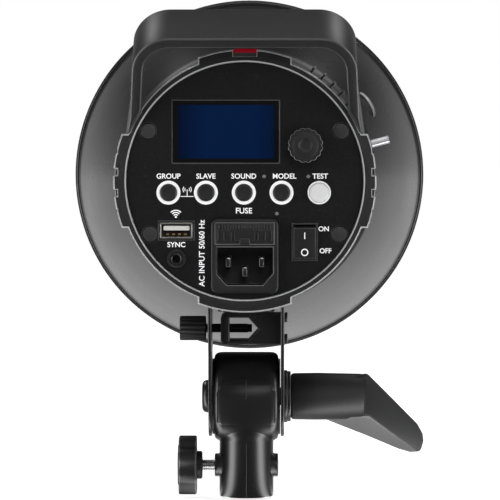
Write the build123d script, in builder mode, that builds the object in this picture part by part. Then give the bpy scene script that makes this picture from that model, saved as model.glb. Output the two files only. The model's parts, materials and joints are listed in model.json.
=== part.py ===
from build123d import *
import os
from math import asin, cos, degrees, radians, sin, sqrt

# A studio monolight on its tilt bracket. Millimetres, +Z up, +Y the way the lamp shines.
# The origin is the centre of the stand socket's mouth, on the socket's axis.

# ---- lamp body: radii about the lamp axis, and stations along Y ----
body_radius = 52.8          # rear bezel and rear end of the housing
bezel_wall = 3.1            # bezel wall round the rear panel
rail_rise = 2.4             # how far the four rails stand above the bezel
rail_width = 39.4
front_flare = 5.2           # growth of the housing's radius from its rear to its front
housing_wall = 2.9
collar_rise = 2.5           # front collar above the housing's front end
panel_y = -105.0            # rear face of the panel
panel_thickness = 2.5
bezel_lip = 1.0             # bezel stands this far behind the panel
bezel_length = 18.0
housing_length = 154.0
collar_length = 44.0
seat_gap = 0.05             # clearance round a piece seated in another

panel_radius = body_radius - bezel_wall
rail_radius = body_radius + rail_rise
bezel_back = panel_y - bezel_lip
bezel_front = bezel_back + bezel_length
housing_front = bezel_front + housing_length
front_y = housing_front + collar_length
shell_front_radius = body_radius + front_flare
collar_radius = shell_front_radius + collar_rise

# ---- stand head ----
tilt_height = 45.0          # tilt axis above the socket's mouth
socket_radius = 12.15
socket_bore_radius = 8.1    # takes a 16 mm (5/8 inch) spigot
socket_depth = 27.5
core_radius = 20.0
core_round = 2.5
tilt_bolt_radius = 4.0
tilt_run = 0.08             # running clearance round the tilt bolt
friction_thickness = 0.7
friction_run = 0.3          # from each friction washer to its ear, with the washer's seat
friction_radius = 17.0
boss_height = 14.0          # lock screw axis above the mouth
boss_radius = 5.25
boss_rise = 2.1
lock_screw_radius = 2.5
lock_insert_wall = 1.1
thread_run = 0.05           # clearance round a screw that turns
lock_knob_radius = 13.6
lock_knob_length = 8.1
lock_knob_lobes = 8
lobe_cut_radius = 3.4
lobe_cut_out = 1.6          # scallop centres beyond the knob's radius
lock_screw_grip = 2.0       # screw moulded into the knob, past its hub
lock_hub_radius = 6.3
lock_hub_length = 2.5
lock_showing = 5.6          # screw seen between the boss and the knob's hub
lock_pad_length = 2.2
lock_pad_recess = 0.3
pad_slack = 0.2             # the pads are this much slimmer than their screws

# ---- tilt bracket ----
bracket_height = 43.0       # tilt axis to the housing's seat
plate = 1.5
ear_gap = 30.9
ear_radius = 18.0
ear_shoulder = 22.0         # height over which the ears widen to the top
ear_top_width = 62.0
bend_radius = 2.0
bracket_screw_radius = 2.0
bracket_screw_x = 9.0
bracket_screw_y = 23.0
bracket_screw_head = 2.2
bracket_screw_grip = 5.0
head_ratio = 1.8            # screw heads, in screw radii
hole_clearance = 0.3
tap_clearance = 0.02
seat_drop = 0.2             # the housing's flat seat inside the rail's radius
dome_radius = 7.4
dome_height = 3.0
washer_radius = 11.75
washer_thickness = 1.5
washer_count = 2
washer_step = 0.4           # each washer is this much smaller than the last
lever_hub_radius = 10.6
lever_hub_length = 34.6
lever_arm_thickness = 11.0
lever_arm_root = 12.0       # the arm leaves the hub this far along it
lever_tip = (51.5, -26.0)   # arm's end, from the hub's start and the axis
lever_elbow = (24.5, -16.5) # arm's upper corner, from the hub's end and the axis
lever_round = 4.5
lever_nut_radius = 6.5
lever_nut_length = 12.0

lamp_height = tilt_height + bracket_height + rail_radius - seat_drop

# ---- umbrella holder ----
block_bottom = 24.0         # above the tilt axis
block_height = 13.5
block_left = 4.0            # space between the block and the left ear
block_depth = 24.0
block_wall = 1.6            # over and under the hole
block_side = 3.9            # between the thumbscrew's end of the hole and the block's side
hole_width = 13.1
hole_vee = 4.6              # depth of the hole's V
umbrella_screw_radius = 2.0
umbrella_knob_radius = 5.55
umbrella_knob_length = 11.8
umbrella_tip_in = 17.95      # tip, in from the left ear's inner face
umbrella_tip_x = umbrella_tip_in - ear_gap / 2
umbrella_pad_length = 1.6
umbrella_knob_out = 2.75     # knob's face, out from the same
umbrella_knob_x = -ear_gap / 2 - umbrella_knob_out
block_screw_radius = 1.25
block_screw_spacing = 9.7
block_screw_depth = 8.0
block_screw_head = 1.6
block_round = 2.2
knurl_count = 18
knurl_radius = 0.45

# ---- handle ----
handle_lean = 30.0          # degrees back from upright
handle_rise = 72.0          # top of the band above the lamp axis
handle_width = 92.0
handle_foot_spread = 106.6
handle_band = 26.6
handle_thickness = 4.5
handle_corner = 16.0
handle_foot_drop = 6.0      # the feet reach this far under the lamp axis
foot_seat_depth = 0.75      # pocket for the feet in the housing
handle_screw_radius = 1.5
handle_screw_up = 4.0       # above the lamp axis
handle_screw_length = 3.4
handle_screw_inset = 1.8    # screws start this far inside the feet
handle_screw_steps = (0.2, 0.55)
handle_shoulder = 21.0      # below the corners, where the legs start to spread
handle_spread = 2.0         # and how far out they are there
handle_margin = 0.12        # clearance round the band in the housing
foot_start = 0.85           # share of the leg above its straight foot

# ---- housing ----
vent_angles = (30, 120, 210, 300)
vent_starts = (-40.0, 12.0)
vent_length = 34.0
vent_count = 6
vent_spread = 30.0
vent_slot = (16.0, 2.4)
screw_boss = 7.0            # housing material above the bracket's seat
split_gap = 0.03
rail_root = 1.0

# ---- rear panel: places from the lamp axis as (right, up) ----
display_at = (-8.0, 20.6)
display_size = (45.2, 26.6)
display_thickness = 1.6
dial_at = (25.3, 14.9)
dial_radius = 7.25
dial_length = 12.0
dial_shaft_radius = 3.0
button_x = (-32.0, -16.3, -0.4, 15.4, 31.2)
button_z = -4.9
button_radius = 3.5
test_button_radius = 4.1
button_travel = 0.8
button_proud = 1.3
button_flange = 0.9         # wider than its hole, behind the panel
button_back = 1.1           # the buttons reach this far behind the panel
flange_thickness = 0.9
ring_width = 1.3
test_ring_width = 0.55
ring_proud = 0.3
usb_at = (-28.7, -20.8)
usb_shell = (13.5, 6.5)
usb_wall = 0.4
usb_depth = 13.0
sync_at = (-28.7, -32.7)
sync_radius = 4.0
sync_hole_radius = 1.75
inlet_at = (0.0, -31.5)
inlet_flange = (28.3, 31.4)
inlet_flange_thickness = 2.2
inlet_margin = 1.6          # flange beyond the panel's opening
inlet_depth = 27.0
socket_size = (23.8, 15.9)
socket_cavity = 16.0
socket_corner = (4.3, 4.9)
drawer_size = (24.4, 8.5)
drawer_length = 19.0
drawer_run = 0.12
fuse_radius = 2.6
fuse_length = 20.0
rocker_at = (25.1, -25.6)
rocker_width = 9.35
rocker_half = 6.9
rocker_throw = 16.0         # degrees from off to on
rocker_run = 0.12
rocker_frame_wall = 0.6
plug_radius = 3.1
plug_edge = 4.2             # plug centres inside the panel's edge
plug_groove = 0.4           # open ring round each plug
plug_angles = (27.3, 152.7, 209.4, 330.6)
window_width = 9.9
window_thickness = 3.0
window_proud = 0.2
post_length = 9.0
notch_width = 3.0
notch_up = (-13.4, -5.1, 3.7, 12.9)
lcd_recess = 0.3
lcd_module_depth = 4.4
lcd_module_margin = 2.0
dial_scallops = 16
dial_gap = 0.4              # between the panel and the dial
encoder_size = (12.4, 13.2)
usb_surround = 1.8
usb_tongue = (10.9, 1.8)
usb_tongue_up = 1.3
sync_neck = 1.0             # jack's thread is this much smaller than its nut
sync_nut = 0.9
sync_depth = 13.0
pin_pitch = 14.0
pin_size = (2.0, 4.0)

# ---- inside the housing ----
board_thickness = 1.6
control_board_gap = 7.0     # panel's inner face to the control board
chassis_drop = 8.0
chassis_thickness = 1.5
chassis_width = 84.0
chassis_length = 92.0
chassis_start = 32.0        # behind the panel
capacitor_radius = 14.0
capacitor_length = 75.0
fan_size = 60.0
fan_depth = 15.0
fan_hub_radius = 10.0
fan_blade_count = 7
fan_run = 0.6
fan_spider = 3.0
fan_pitch = 35.0
fan_blade = (12.0, 1.2)
board_parts = ((-24, -14, 5), (-24, 4, 5), (-10, 24, 6), (24, -30, 4), (28, -18, 4))
board_part_height = 18.0
core_size = (30.0, 26.0, 24.0)
winding_size = (24.0, 19.0, 38.0)

# ---- front bayonet, lamps and reflector ----
bayonet_radius = 46.0       # mouth of the bayonet ring
bayonet_thickness = 4.0
lug_reach = 4.0             # reflector lugs beyond the mouth
lug_width = 11.0
lug_thickness = 3.4
lug_run = 0.3
twist = 25.0                # degrees from locked to free
latch_angle = 14.9
latch_height = 3.8
latch_depth = 3.4
latch_end = 70.0
latch_run = 0.25
lamp_plate_rise = 13.0
holder_radius = 14.5
holder_length = 24.0
tube_ring_radius = 33.0
tube_radius = 3.6
bulb_radius = 16.0
bulb_neck_radius = 9.0
bulb_length = 52.0
rim_radius = 90.0
rim_roll = 1.25
bowl_start_radius = 55.0
bowl_length = 118.0
bowl_bulge = 73.3           # outer radius at mid length
bowl_wall = 1.2
bowl_hole_radius = 7.0
bowl_hole_angle = 31.0
bowl_hole_y = 40.0          # in front of the bayonet ring

lamp_plane = Plane(origin=(0, 0, lamp_height), x_dir=(0, 1, 0), z_dir=(1, 0, 0))
lamp_axis = Axis((0, 0, lamp_height), (0, 1, 0))
core_width = ear_gap - 2 * (friction_thickness + friction_run)
ear_inside = ear_gap / 2
ear_outside = ear_inside + plate


# A plane facing backwards at a station along Y: local x is right, local y is up.
def rear(y, right=0, up=0):
    return Plane(origin=(right, y, lamp_height + up), x_dir=(1, 0, 0), z_dir=(0, -1, 0))


# A plane facing right at a place across X, with its origin on the tilt axis's height.
def across(x, z=tilt_height, y=0):
    return Plane(origin=(x, y, z), x_dir=(0, 1, 0), z_dir=(1, 0, 0))


def save(piece, name):
    piece.part.label = name
    export_step(piece.part, f"parts/{name}.step")


# A disc with four rails: part of the sketch that is open.
def railed_disc(radius, outer_radius):
    Circle(outer_radius)
    with BuildSketch(mode=Mode.PRIVATE) as cross:
        Rectangle(2 * outer_radius + 2, rail_width)
        Rectangle(rail_width, 2 * outer_radius + 2)
    add(cross.sketch, mode=Mode.INTERSECT)
    Circle(radius)


os.makedirs("parts", exist_ok=True)

# ======== stand head ========
boss_face = socket_radius + boss_rise
insert_radius = lock_screw_radius + lock_insert_wall
pad_tip_x = -(socket_bore_radius + lock_pad_recess)
lock_hub_x = -(boss_face + lock_showing)

with BuildPart() as tilt_head:
    with BuildSketch(across(-core_width / 2)):
        Circle(core_radius)
    extrude(amount=core_width)
    fillet(tilt_head.edges().filter_by(GeomType.CIRCLE), core_round)
    with BuildSketch(Plane.XY):
        Circle(socket_radius)
    extrude(amount=tilt_height)
    with BuildSketch(across(-boss_face, boss_height)):
        Circle(boss_radius)
    extrude(amount=2 * boss_face)
    with BuildSketch(Plane.XY):
        Circle(socket_bore_radius)
    extrude(amount=socket_depth, mode=Mode.SUBTRACT)
    with BuildSketch(across(-core_width / 2)):
        Circle(tilt_bolt_radius + tilt_run)
    extrude(amount=core_width, mode=Mode.SUBTRACT)
    with BuildSketch(across(-boss_face, boss_height)):
        Circle(insert_radius + seat_gap)
    extrude(amount=boss_face, mode=Mode.SUBTRACT)
save(tilt_head, "tilt_head")

with BuildPart() as lock_insert:
    with BuildSketch(across(-boss_face, boss_height)):
        Circle(insert_radius)
        Circle(lock_screw_radius + thread_run, mode=Mode.SUBTRACT)
    extrude(amount=boss_face + pad_tip_x - pad_slack)
save(lock_insert, "lock_insert")

with BuildPart() as friction_washers:
    for side in (-1, 1):
        with BuildSketch(across(side * (core_width / 2 + seat_gap))):
            Circle(friction_radius)
            Circle(tilt_bolt_radius + tilt_run, mode=Mode.SUBTRACT)
        extrude(amount=side * friction_thickness)
save(friction_washers, "friction_washers")

# The lock screw is drawn back: its pad lies just inside the bore's wall.
with BuildPart() as lock_pad:
    with BuildSketch(across(pad_tip_x - lock_pad_length, boss_height)):
        Circle(lock_screw_radius - pad_slack)
    extrude(amount=lock_pad_length)
save(lock_pad, "lock_pad")

with BuildPart() as lock_screw:
    with BuildSketch(across(lock_hub_x - lock_hub_length - lock_screw_grip, boss_height)):
        Circle(lock_screw_radius)
    extrude(amount=pad_tip_x - lock_pad_length - lock_hub_x + lock_hub_length + lock_screw_grip)
save(lock_screw, "lock_screw")

with BuildPart() as lock_knob:
    with BuildSketch(across(lock_hub_x - lock_hub_length - lock_knob_length, boss_height)):
        Circle(lock_knob_radius)
        with PolarLocations(lock_knob_radius + lobe_cut_out, lock_knob_lobes):
            Circle(lobe_cut_radius, mode=Mode.SUBTRACT)
    extrude(amount=lock_knob_length)
    with BuildSketch(across(lock_hub_x - lock_hub_length, boss_height)):
        Circle(lock_hub_radius)
    extrude(amount=lock_hub_length)
    with BuildSketch(across(lock_hub_x, boss_height)):
        Circle(lock_screw_radius + seat_gap)
    extrude(amount=-lock_hub_length - lock_screw_grip - seat_gap, mode=Mode.SUBTRACT)
save(lock_knob, "lock_knob")

# ======== tilt bracket ========
seat_z = tilt_height + bracket_height
web_bottom = seat_z - plate
ear_height = bracket_height - plate

with BuildPart() as tilt_bracket:
    with BuildSketch(Plane.XY.offset(web_bottom)):
        Rectangle(2 * ear_outside, ear_top_width)
    extrude(amount=plate)
    for side in (-1, 1):
        with BuildSketch(across(side * ear_inside)):
            with BuildLine():
                Polyline((-ear_radius, 0), (-ear_radius, ear_height - ear_shoulder),
                         (-ear_top_width / 2, ear_height), (-ear_top_width / 2, bracket_height),
                         (ear_top_width / 2, bracket_height), (ear_top_width / 2, ear_height),
                         (ear_radius, ear_height - ear_shoulder), (ear_radius, 0))
                ThreePointArc((ear_radius, 0), (0, -ear_radius), (-ear_radius, 0))
            make_face()
            Circle(tilt_bolt_radius + hole_clearance, mode=Mode.SUBTRACT)
        extrude(amount=side * plate)
    corners = tilt_bracket.edges().filter_by(Axis.Y).group_by(Axis.Z)[-1]
    fillet(corners, bend_radius)
    with BuildSketch(Plane.XY.offset(seat_z)):
        with Locations([(x, y) for x in (-bracket_screw_x, bracket_screw_x)
                        for y in (-bracket_screw_y, bracket_screw_y)]):
            Circle(bracket_screw_radius + hole_clearance)
    extrude(amount=-plate, mode=Mode.SUBTRACT)
    # holes for the thumbscrew and for the holder block's screws
    block_middle = block_bottom + block_height / 2
    with BuildSketch(across(-ear_outside)):
        with Locations((0, block_middle)):
            Circle(umbrella_screw_radius + hole_clearance)
    extrude(amount=plate, mode=Mode.SUBTRACT)
    with BuildSketch(across(ear_outside)):
        for up in (-block_screw_spacing / 2, block_screw_spacing / 2):
            with Locations((0, block_middle + up)):
                Circle(block_screw_radius + hole_clearance)
    extrude(amount=-plate, mode=Mode.SUBTRACT)
save(tilt_bracket, "tilt_bracket")

with BuildPart() as bracket_screws:
    for x in (-bracket_screw_x, bracket_screw_x):
        for y in (-bracket_screw_y, bracket_screw_y):
            with BuildSketch(Plane(origin=(x, y, web_bottom))):
                Circle(head_ratio * bracket_screw_radius)
            extrude(amount=-bracket_screw_head)
            with BuildSketch(Plane(origin=(x, y, web_bottom))):
                Circle(bracket_screw_radius)
            extrude(amount=plate + bracket_screw_grip)
save(bracket_screws, "bracket_screws")

lever_start = ear_outside + washer_count * washer_thickness
bolt_end = lever_start + lever_hub_length * 0.45
with BuildPart() as tilt_bolt:
    with BuildSketch(across(-ear_outside)):
        Circle(tilt_bolt_radius)
    extrude(amount=ear_outside + bolt_end)
    with BuildSketch(across(-ear_outside)):
        Circle(dome_radius)
    extrude(amount=-dome_height)
    fillet(tilt_bolt.edges().filter_by(GeomType.CIRCLE).sort_by(Axis.X)[0], 0.8 * dome_height)
save(tilt_bolt, "tilt_bolt")

with BuildPart() as tilt_washers:
    for index in range(washer_count):
        with BuildSketch(across(ear_outside + index * washer_thickness)):
            Circle(washer_radius - washer_step * index)
            Circle(tilt_bolt_radius + hole_clearance, mode=Mode.SUBTRACT)
        extrude(amount=washer_thickness - tap_clearance)
save(tilt_washers, "tilt_washers")

# The lever: a round hub on the tilt axis, and an arm that bends down and away from it.
hub_end = lever_start + lever_hub_length
with BuildPart() as tilt_lever:
    with BuildSketch(across(lever_start)):
        Circle(lever_hub_radius)
    extrude(amount=lever_hub_length, taper=1.0)
    with BuildSketch(Plane(origin=(0, -lever_arm_thickness / 2, tilt_height), x_dir=(1, 0, 0),
                           z_dir=(0, -1, 0))):
        with BuildLine():
            Polyline((lever_start + lever_arm_root, -0.6 * lever_hub_radius),
                     (lever_start + lever_tip[0], lever_tip[1]),
                     (hub_end + lever_elbow[0], lever_elbow[1]), (hub_end, 0.92 * lever_hub_radius),
                     (lever_start + lever_arm_root, 0.6 * lever_hub_radius), close=True)
        make_face()
        fillet(vertices().filter_by_position(Axis.X, hub_end + 10, hub_end + 40), lever_round)
    extrude(amount=-lever_arm_thickness)
    with BuildSketch(across(lever_start)):
        Circle(tilt_bolt_radius + hole_clearance)
    extrude(amount=0.6 * lever_hub_length, mode=Mode.SUBTRACT)
    with BuildSketch(across(lever_start)):
        RegularPolygon(lever_nut_radius + seat_gap, 6)
    extrude(amount=lever_nut_length + seat_gap, mode=Mode.SUBTRACT)
save(tilt_lever, "tilt_lever")

with BuildPart() as lever_nut:
    with BuildSketch(across(lever_start)):
        RegularPolygon(lever_nut_radius, 6)
        Circle(tilt_bolt_radius + tilt_run, mode=Mode.SUBTRACT)
    extrude(amount=lever_nut_length)
save(lever_nut, "lever_nut")

# ======== umbrella holder ========
block_x = -ear_inside + block_left
block_z = tilt_height + block_bottom
block_centre_z = block_z + block_height / 2
hole_x = block_x + block_side
hole_half = block_height / 2 - block_wall

with BuildPart() as umbrella_block:
    with BuildSketch(Plane(origin=(0, -block_depth / 2, block_centre_z), x_dir=(1, 0, 0),
                           z_dir=(0, -1, 0))):
        with BuildLine():
            Polyline((block_x, -block_height / 2), (ear_inside, -block_height / 2),
                     (ear_inside, block_height / 2), (block_x, block_height / 2), close=True)
        make_face()
        fillet(vertices().group_by(Axis.X)[0], block_round)
        with BuildLine():
            Polyline((hole_x, -hole_half), (hole_x + hole_width - hole_vee, -hole_half),
                     (hole_x + hole_width, 0), (hole_x + hole_width - hole_vee, hole_half),
                     (hole_x, hole_half), close=True)
        make_face(mode=Mode.SUBTRACT)
    extrude(amount=-block_depth)
    with BuildSketch(across(block_x, block_centre_z)):
        Circle(umbrella_screw_radius + thread_run)
    extrude(amount=block_side, mode=Mode.SUBTRACT)
    for up in (-block_screw_spacing / 2, block_screw_spacing / 2):
        with BuildSketch(across(ear_inside, block_centre_z + up)):
            Circle(block_screw_radius + tap_clearance)
        extrude(amount=-block_screw_depth - 0.1, mode=Mode.SUBTRACT)
save(umbrella_block, "umbrella_block")

with BuildPart() as umbrella_block_screws:
    for up in (-block_screw_spacing / 2, block_screw_spacing / 2):
        with BuildSketch(across(ear_outside, block_centre_z + up)):
            Circle(block_screw_radius)
        extrude(amount=-plate - block_screw_depth)
        with BuildSketch(across(ear_outside, block_centre_z + up)):
            Circle(head_ratio * block_screw_radius)
        extrude(amount=block_screw_head)
save(umbrella_block_screws, "umbrella_block_screws")

with BuildPart() as umbrella_pad:
    with BuildSketch(across(umbrella_tip_x - umbrella_pad_length, block_centre_z)):
        Circle(umbrella_screw_radius - pad_slack)
    extrude(amount=umbrella_pad_length)
save(umbrella_pad, "umbrella_pad")

with BuildPart() as umbrella_thumbscrew:
    with BuildSketch(across(umbrella_knob_x, block_centre_z)):
        Circle(umbrella_screw_radius)
    extrude(amount=umbrella_tip_x - umbrella_pad_length - umbrella_knob_x)
    with BuildSketch(across(umbrella_knob_x, block_centre_z)):
        Circle(umbrella_knob_radius)
        with PolarLocations(umbrella_knob_radius, knurl_count):
            Circle(knurl_radius, mode=Mode.SUBTRACT)
    extrude(amount=-umbrella_knob_length)
save(umbrella_thumbscrew, "umbrella_thumbscrew")

# ======== handle ========
# The band's front face lies on this plane: local x is right, local y runs up the legs.
lean_sine = sin(radians(handle_lean))
lean_cosine = cos(radians(handle_lean))
band_normal = (0, -lean_cosine, -lean_sine)
handle_plane = Plane(origin=(0, panel_y, lamp_height + handle_rise), x_dir=(1, 0, 0),
                     z_dir=band_normal)
leg_length = (handle_rise + handle_foot_drop) / lean_cosine
foot_radius = body_radius - foot_seat_depth


# The band's outline, grown all round by a margin, as part of the sketch that is open.
def band_outline(margin):
    half_top = handle_width / 2 + margin
    half_foot = handle_foot_spread / 2 + margin
    inner_top = half_top - handle_thickness - 2 * margin
    inner_foot = half_foot - handle_thickness - 2 * margin
    underside = -handle_thickness - margin
    shoulder = -handle_corner - handle_shoulder
    foot_top = -leg_length * foot_start
    with BuildSketch(mode=Mode.PRIVATE) as outer:
        with BuildLine():
            Polyline((-half_foot, -leg_length - margin), (-half_foot, foot_top),
                     (-half_top - handle_spread, shoulder), (-half_top, margin),
                     (half_top, margin), (half_top + handle_spread, shoulder),
                     (half_foot, foot_top), (half_foot, -leg_length - margin), close=True)
        make_face()
        fillet(outer.vertices().group_by(Axis.Y)[-1], handle_corner)
    with BuildSketch(mode=Mode.PRIVATE) as inner:
        with BuildLine():
            Polyline((-inner_foot, -leg_length - 2), (-inner_foot, foot_top),
                     (-inner_top - handle_spread, shoulder), (-inner_top, underside),
                     (inner_top, underside), (inner_top + handle_spread, shoulder),
                     (inner_foot, foot_top), (inner_foot, -leg_length - 2), close=True)
        make_face()
        fillet(inner.vertices().group_by(Axis.Y)[-1], handle_corner - handle_thickness)
    add(outer.sketch)
    add(inner.sketch, mode=Mode.SUBTRACT)


foot_front_y = panel_y + (handle_rise - handle_screw_up) * lean_sine / lean_cosine
foot_length = handle_band / lean_cosine
handle_screw_planes = [
    Plane(origin=(side * (foot_radius - handle_screw_inset), foot_front_y - foot_length * step,
                  lamp_height + handle_screw_up), x_dir=(0, 1, 0), z_dir=(side, 0, 0))
    for side in (-1, 1) for step in handle_screw_steps]

with BuildPart() as handle_screws:
    for place in handle_screw_planes:
        with BuildSketch(place):
            Circle(handle_screw_radius)
        extrude(amount=handle_screw_length)
save(handle_screws, "handle_screws")

# What the screws need in the handle and the housing.
with BuildPart() as handle_screw_room:
    for place in handle_screw_planes:
        with BuildSketch(place.offset(-seat_gap)):
            Circle(handle_screw_radius + seat_gap)
        extrude(amount=8)

with BuildPart() as handle:
    with BuildSketch(handle_plane):
        band_outline(0)
    extrude(amount=handle_band)
    with BuildSketch(rear(panel_y + 60)):
        Circle(foot_radius + seat_gap)
    extrude(amount=120, mode=Mode.SUBTRACT)
    add(handle_screw_room.part, mode=Mode.SUBTRACT)
save(handle, "handle")

# The room the feet take in the bezel and the housing.
with BuildPart() as foot_room:
    with BuildSketch(handle_plane.offset(-handle_margin)):
        band_outline(handle_margin)
    extrude(amount=handle_band + 2 * handle_margin)
    with BuildSketch(rear(panel_y + 60)):
        Circle(foot_radius)
    extrude(amount=120, mode=Mode.SUBTRACT)

# ======== housing ========
inner_radius = body_radius - housing_wall
mid_y = panel_y + 0.45 * (housing_front - panel_y)
inner_front = shell_front_radius - housing_wall

with BuildPart() as housing:
    with BuildSketch(lamp_plane):
        with BuildLine():
            Polyline((bezel_front, inner_radius), (bezel_front, body_radius),
                     (housing_front, shell_front_radius), (housing_front, inner_front),
                     (mid_y, inner_radius), close=True)
        make_face()
    revolve(axis=lamp_axis)
    # the rails run forward until the flare of the shell swallows them
    rail_length = housing_length * rail_rise / front_flare
    with BuildSketch(rear(bezel_front)):
        railed_disc(body_radius - rail_root, rail_radius)
        Circle(body_radius - rail_root, mode=Mode.SUBTRACT)
    extrude(amount=-rail_length)
    # the flat seat for the bracket, with material behind it for the screws
    with BuildSketch(Plane.XY.offset(seat_z)):
        Rectangle(2 * ear_outside, ear_top_width)
    extrude(amount=screw_boss)
    with BuildSketch(Plane.XY.offset(seat_z)):
        Rectangle(2 * ear_outside + 1, ear_top_width + 1)
    extrude(amount=-20, mode=Mode.SUBTRACT)
    with BuildSketch(Plane.XY.offset(seat_z)):
        with Locations([(x, y) for x in (-bracket_screw_x, bracket_screw_x)
                        for y in (-bracket_screw_y, bracket_screw_y)]):
            Circle(bracket_screw_radius + tap_clearance)
    extrude(amount=bracket_screw_grip + 0.1, mode=Mode.SUBTRACT)
    # cooling slots on the four shoulders
    for start in vent_starts:
        with BuildSketch(rear(start)):
            for angle in vent_angles:
                with PolarLocations(shell_front_radius, vent_count, angle, vent_spread, endpoint=True):
                    Rectangle(vent_slot[0], vent_slot[1])
        extrude(amount=-vent_length, mode=Mode.SUBTRACT)
    add(foot_room.part, mode=Mode.SUBTRACT)
    add(handle_screw_room.part, mode=Mode.SUBTRACT)

for name, keep, level in (("housing_top", Keep.TOP, split_gap), ("housing_bottom", Keep.BOTTOM, 0)):
    with BuildPart() as half:
        add(housing.part)
        split(bisect_by=Plane.XY.offset(lamp_height + level), keep=keep)
    save(half, name)

# ======== rear bezel and panel ========
panel_front = panel_y + panel_thickness
plug_ring = panel_radius - plug_edge
plug_places = [(plug_ring * cos(radians(a)), plug_ring * sin(radians(a))) for a in plug_angles]
panel_screw_radius = 1.5
post_radius = plug_radius - 0.2

with BuildPart() as rear_bezel:
    with BuildSketch(rear(bezel_front - split_gap)):
        railed_disc(body_radius, rail_radius)
        Circle(panel_radius - 2, mode=Mode.SUBTRACT)
    extrude(amount=bezel_length - split_gap)
    with BuildSketch(rear(panel_front)):
        Circle(panel_radius + seat_gap)
    extrude(amount=20, mode=Mode.SUBTRACT)
    chamfer(rear_bezel.edges().group_by(Axis.Y)[0], 0.4)
    # screw posts behind the panel
    with BuildSketch(rear(panel_front)):
        with Locations(plug_places):
            Circle(post_radius)
            Rectangle(2 * (plug_edge - 1), 2 * post_radius - 2)
        Circle(panel_radius - 1.5, mode=Mode.INTERSECT)
        with Locations(plug_places):
            Circle(panel_screw_radius, mode=Mode.SUBTRACT)
    extrude(amount=-post_length)
    # notches along the outside of the two side rails
    with BuildSketch(rear(bezel_front - 3)):
        for side in (-1, 1):
            for up in notch_up:
                with Locations((side * rail_radius, up)):
                    Rectangle(2 * (rail_rise - 0.5), notch_width)
    extrude(amount=bezel_length, mode=Mode.SUBTRACT)
    # the sensor window's seat in the top rail
    with BuildSketch(rear(bezel_front - 2, up=rail_radius)):
        Rectangle(window_width + 2 * seat_gap, 2 * window_thickness)
    extrude(amount=bezel_length, mode=Mode.SUBTRACT)
    add(foot_room.part, mode=Mode.SUBTRACT)
save(rear_bezel, "rear_bezel")

with BuildPart() as sensor_window:
    with BuildSketch(rear(bezel_front - 2 - seat_gap, up=rail_radius)):
        Rectangle(window_width, 2 * (window_thickness - seat_gap))
    extrude(amount=bezel_length - 2 + window_proud)
    with BuildSketch(rear(bezel_front)):
        Circle(rail_radius + window_proud)
    extrude(amount=bezel_length + 2, mode=Mode.INTERSECT)
save(sensor_window, "sensor_window")

# ======== rear panel and its controls ========
button_radii = (button_radius,) * 4 + (test_button_radius,)
ring_widths = (ring_width,) * 4 + (test_ring_width,)
ring_gap = 0.2
inlet_body = (inlet_flange[0] - 2 * inlet_margin, inlet_flange[1] - 2 * inlet_margin)
rocker_opening = (rocker_width + 2 * rocker_run, 2 * (rocker_half + 0.4))
rocker_frame_size = (rocker_opening[0] + 2 * rocker_frame_wall,
                     rocker_opening[1] + 2 * rocker_frame_wall)
usb_hole = (usb_shell[0] + usb_surround, usb_shell[1] + usb_surround)

with BuildPart() as rear_panel:
    with BuildSketch(rear(panel_front)):
        Circle(panel_radius)
        with Locations(display_at):
            Rectangle(display_size[0] + 2 * seat_gap, display_size[1] + 2 * seat_gap,
                      mode=Mode.SUBTRACT)
        with Locations(dial_at):
            Circle(dial_shaft_radius + 0.4, mode=Mode.SUBTRACT)
        for x, radius, width in zip(button_x, button_radii, ring_widths):
            with Locations((x, button_z)):
                Circle(radius + ring_gap + width + seat_gap, mode=Mode.SUBTRACT)
        with Locations(usb_at):
            Rectangle(usb_hole[0], usb_hole[1], mode=Mode.SUBTRACT)
        with Locations(sync_at):
            Circle(sync_radius - sync_neck, mode=Mode.SUBTRACT)
        with Locations(inlet_at):
            Rectangle(inlet_body[0] + 2 * seat_gap, inlet_body[1] + 2 * seat_gap,
                      mode=Mode.SUBTRACT)
        with Locations(rocker_at):
            Rectangle(rocker_frame_size[0] + 2 * seat_gap, rocker_frame_size[1] + 2 * seat_gap,
                      mode=Mode.SUBTRACT)
        with Locations(plug_places):
            Circle(panel_screw_radius + 0.2, mode=Mode.SUBTRACT)
    extrude(amount=panel_thickness)
    with BuildSketch(rear(panel_y)):
        with Locations(plug_places):
            Circle(plug_radius + plug_groove)
    extrude(amount=-1.5, mode=Mode.SUBTRACT)
save(rear_panel, "rear_panel")

with BuildPart() as panel_plugs:
    with BuildSketch(rear(panel_y + 0.6)):
        with Locations(plug_places):
            Circle(plug_radius)
    extrude(amount=0.6)
save(panel_plugs, "panel_plugs")

with BuildPart() as panel_screws:
    with BuildSketch(rear(panel_y + 0.7)):
        with Locations(plug_places):
            Circle(plug_radius - 0.6)
    extrude(amount=-0.75)
    with BuildSketch(rear(panel_y + 0.7)):
        with Locations(plug_places):
            Circle(panel_screw_radius - 0.05)
    extrude(amount=-post_length)
save(panel_screws, "panel_screws")

with BuildPart() as lcd_window:
    with BuildSketch(rear(panel_y + display_thickness)):
        with Locations(display_at):
            Rectangle(display_size[0], display_size[1])
    extrude(amount=display_thickness - lcd_recess)
save(lcd_window, "lcd_window")

with BuildPart() as lcd_module:
    with BuildSketch(rear(panel_front + 4.5)):
        with Locations(display_at):
            Rectangle(display_size[0] + lcd_module_margin, display_size[1] + lcd_module_margin)
    extrude(amount=lcd_module_depth)
save(lcd_module, "lcd_module")

with BuildPart() as dial_knob:
    with BuildSketch(rear(panel_y - dial_gap, dial_at[0], dial_at[1])):
        Circle(dial_radius)
        with PolarLocations(dial_radius + 0.5, dial_scallops):
            Circle(0.9, mode=Mode.SUBTRACT)
    extrude(amount=dial_length)
    with BuildSketch(rear(panel_y - dial_gap, dial_at[0], dial_at[1])):
        Circle(dial_shaft_radius + seat_gap)
    extrude(amount=dial_length - 2, mode=Mode.SUBTRACT)
save(dial_knob, "dial_knob")

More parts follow.
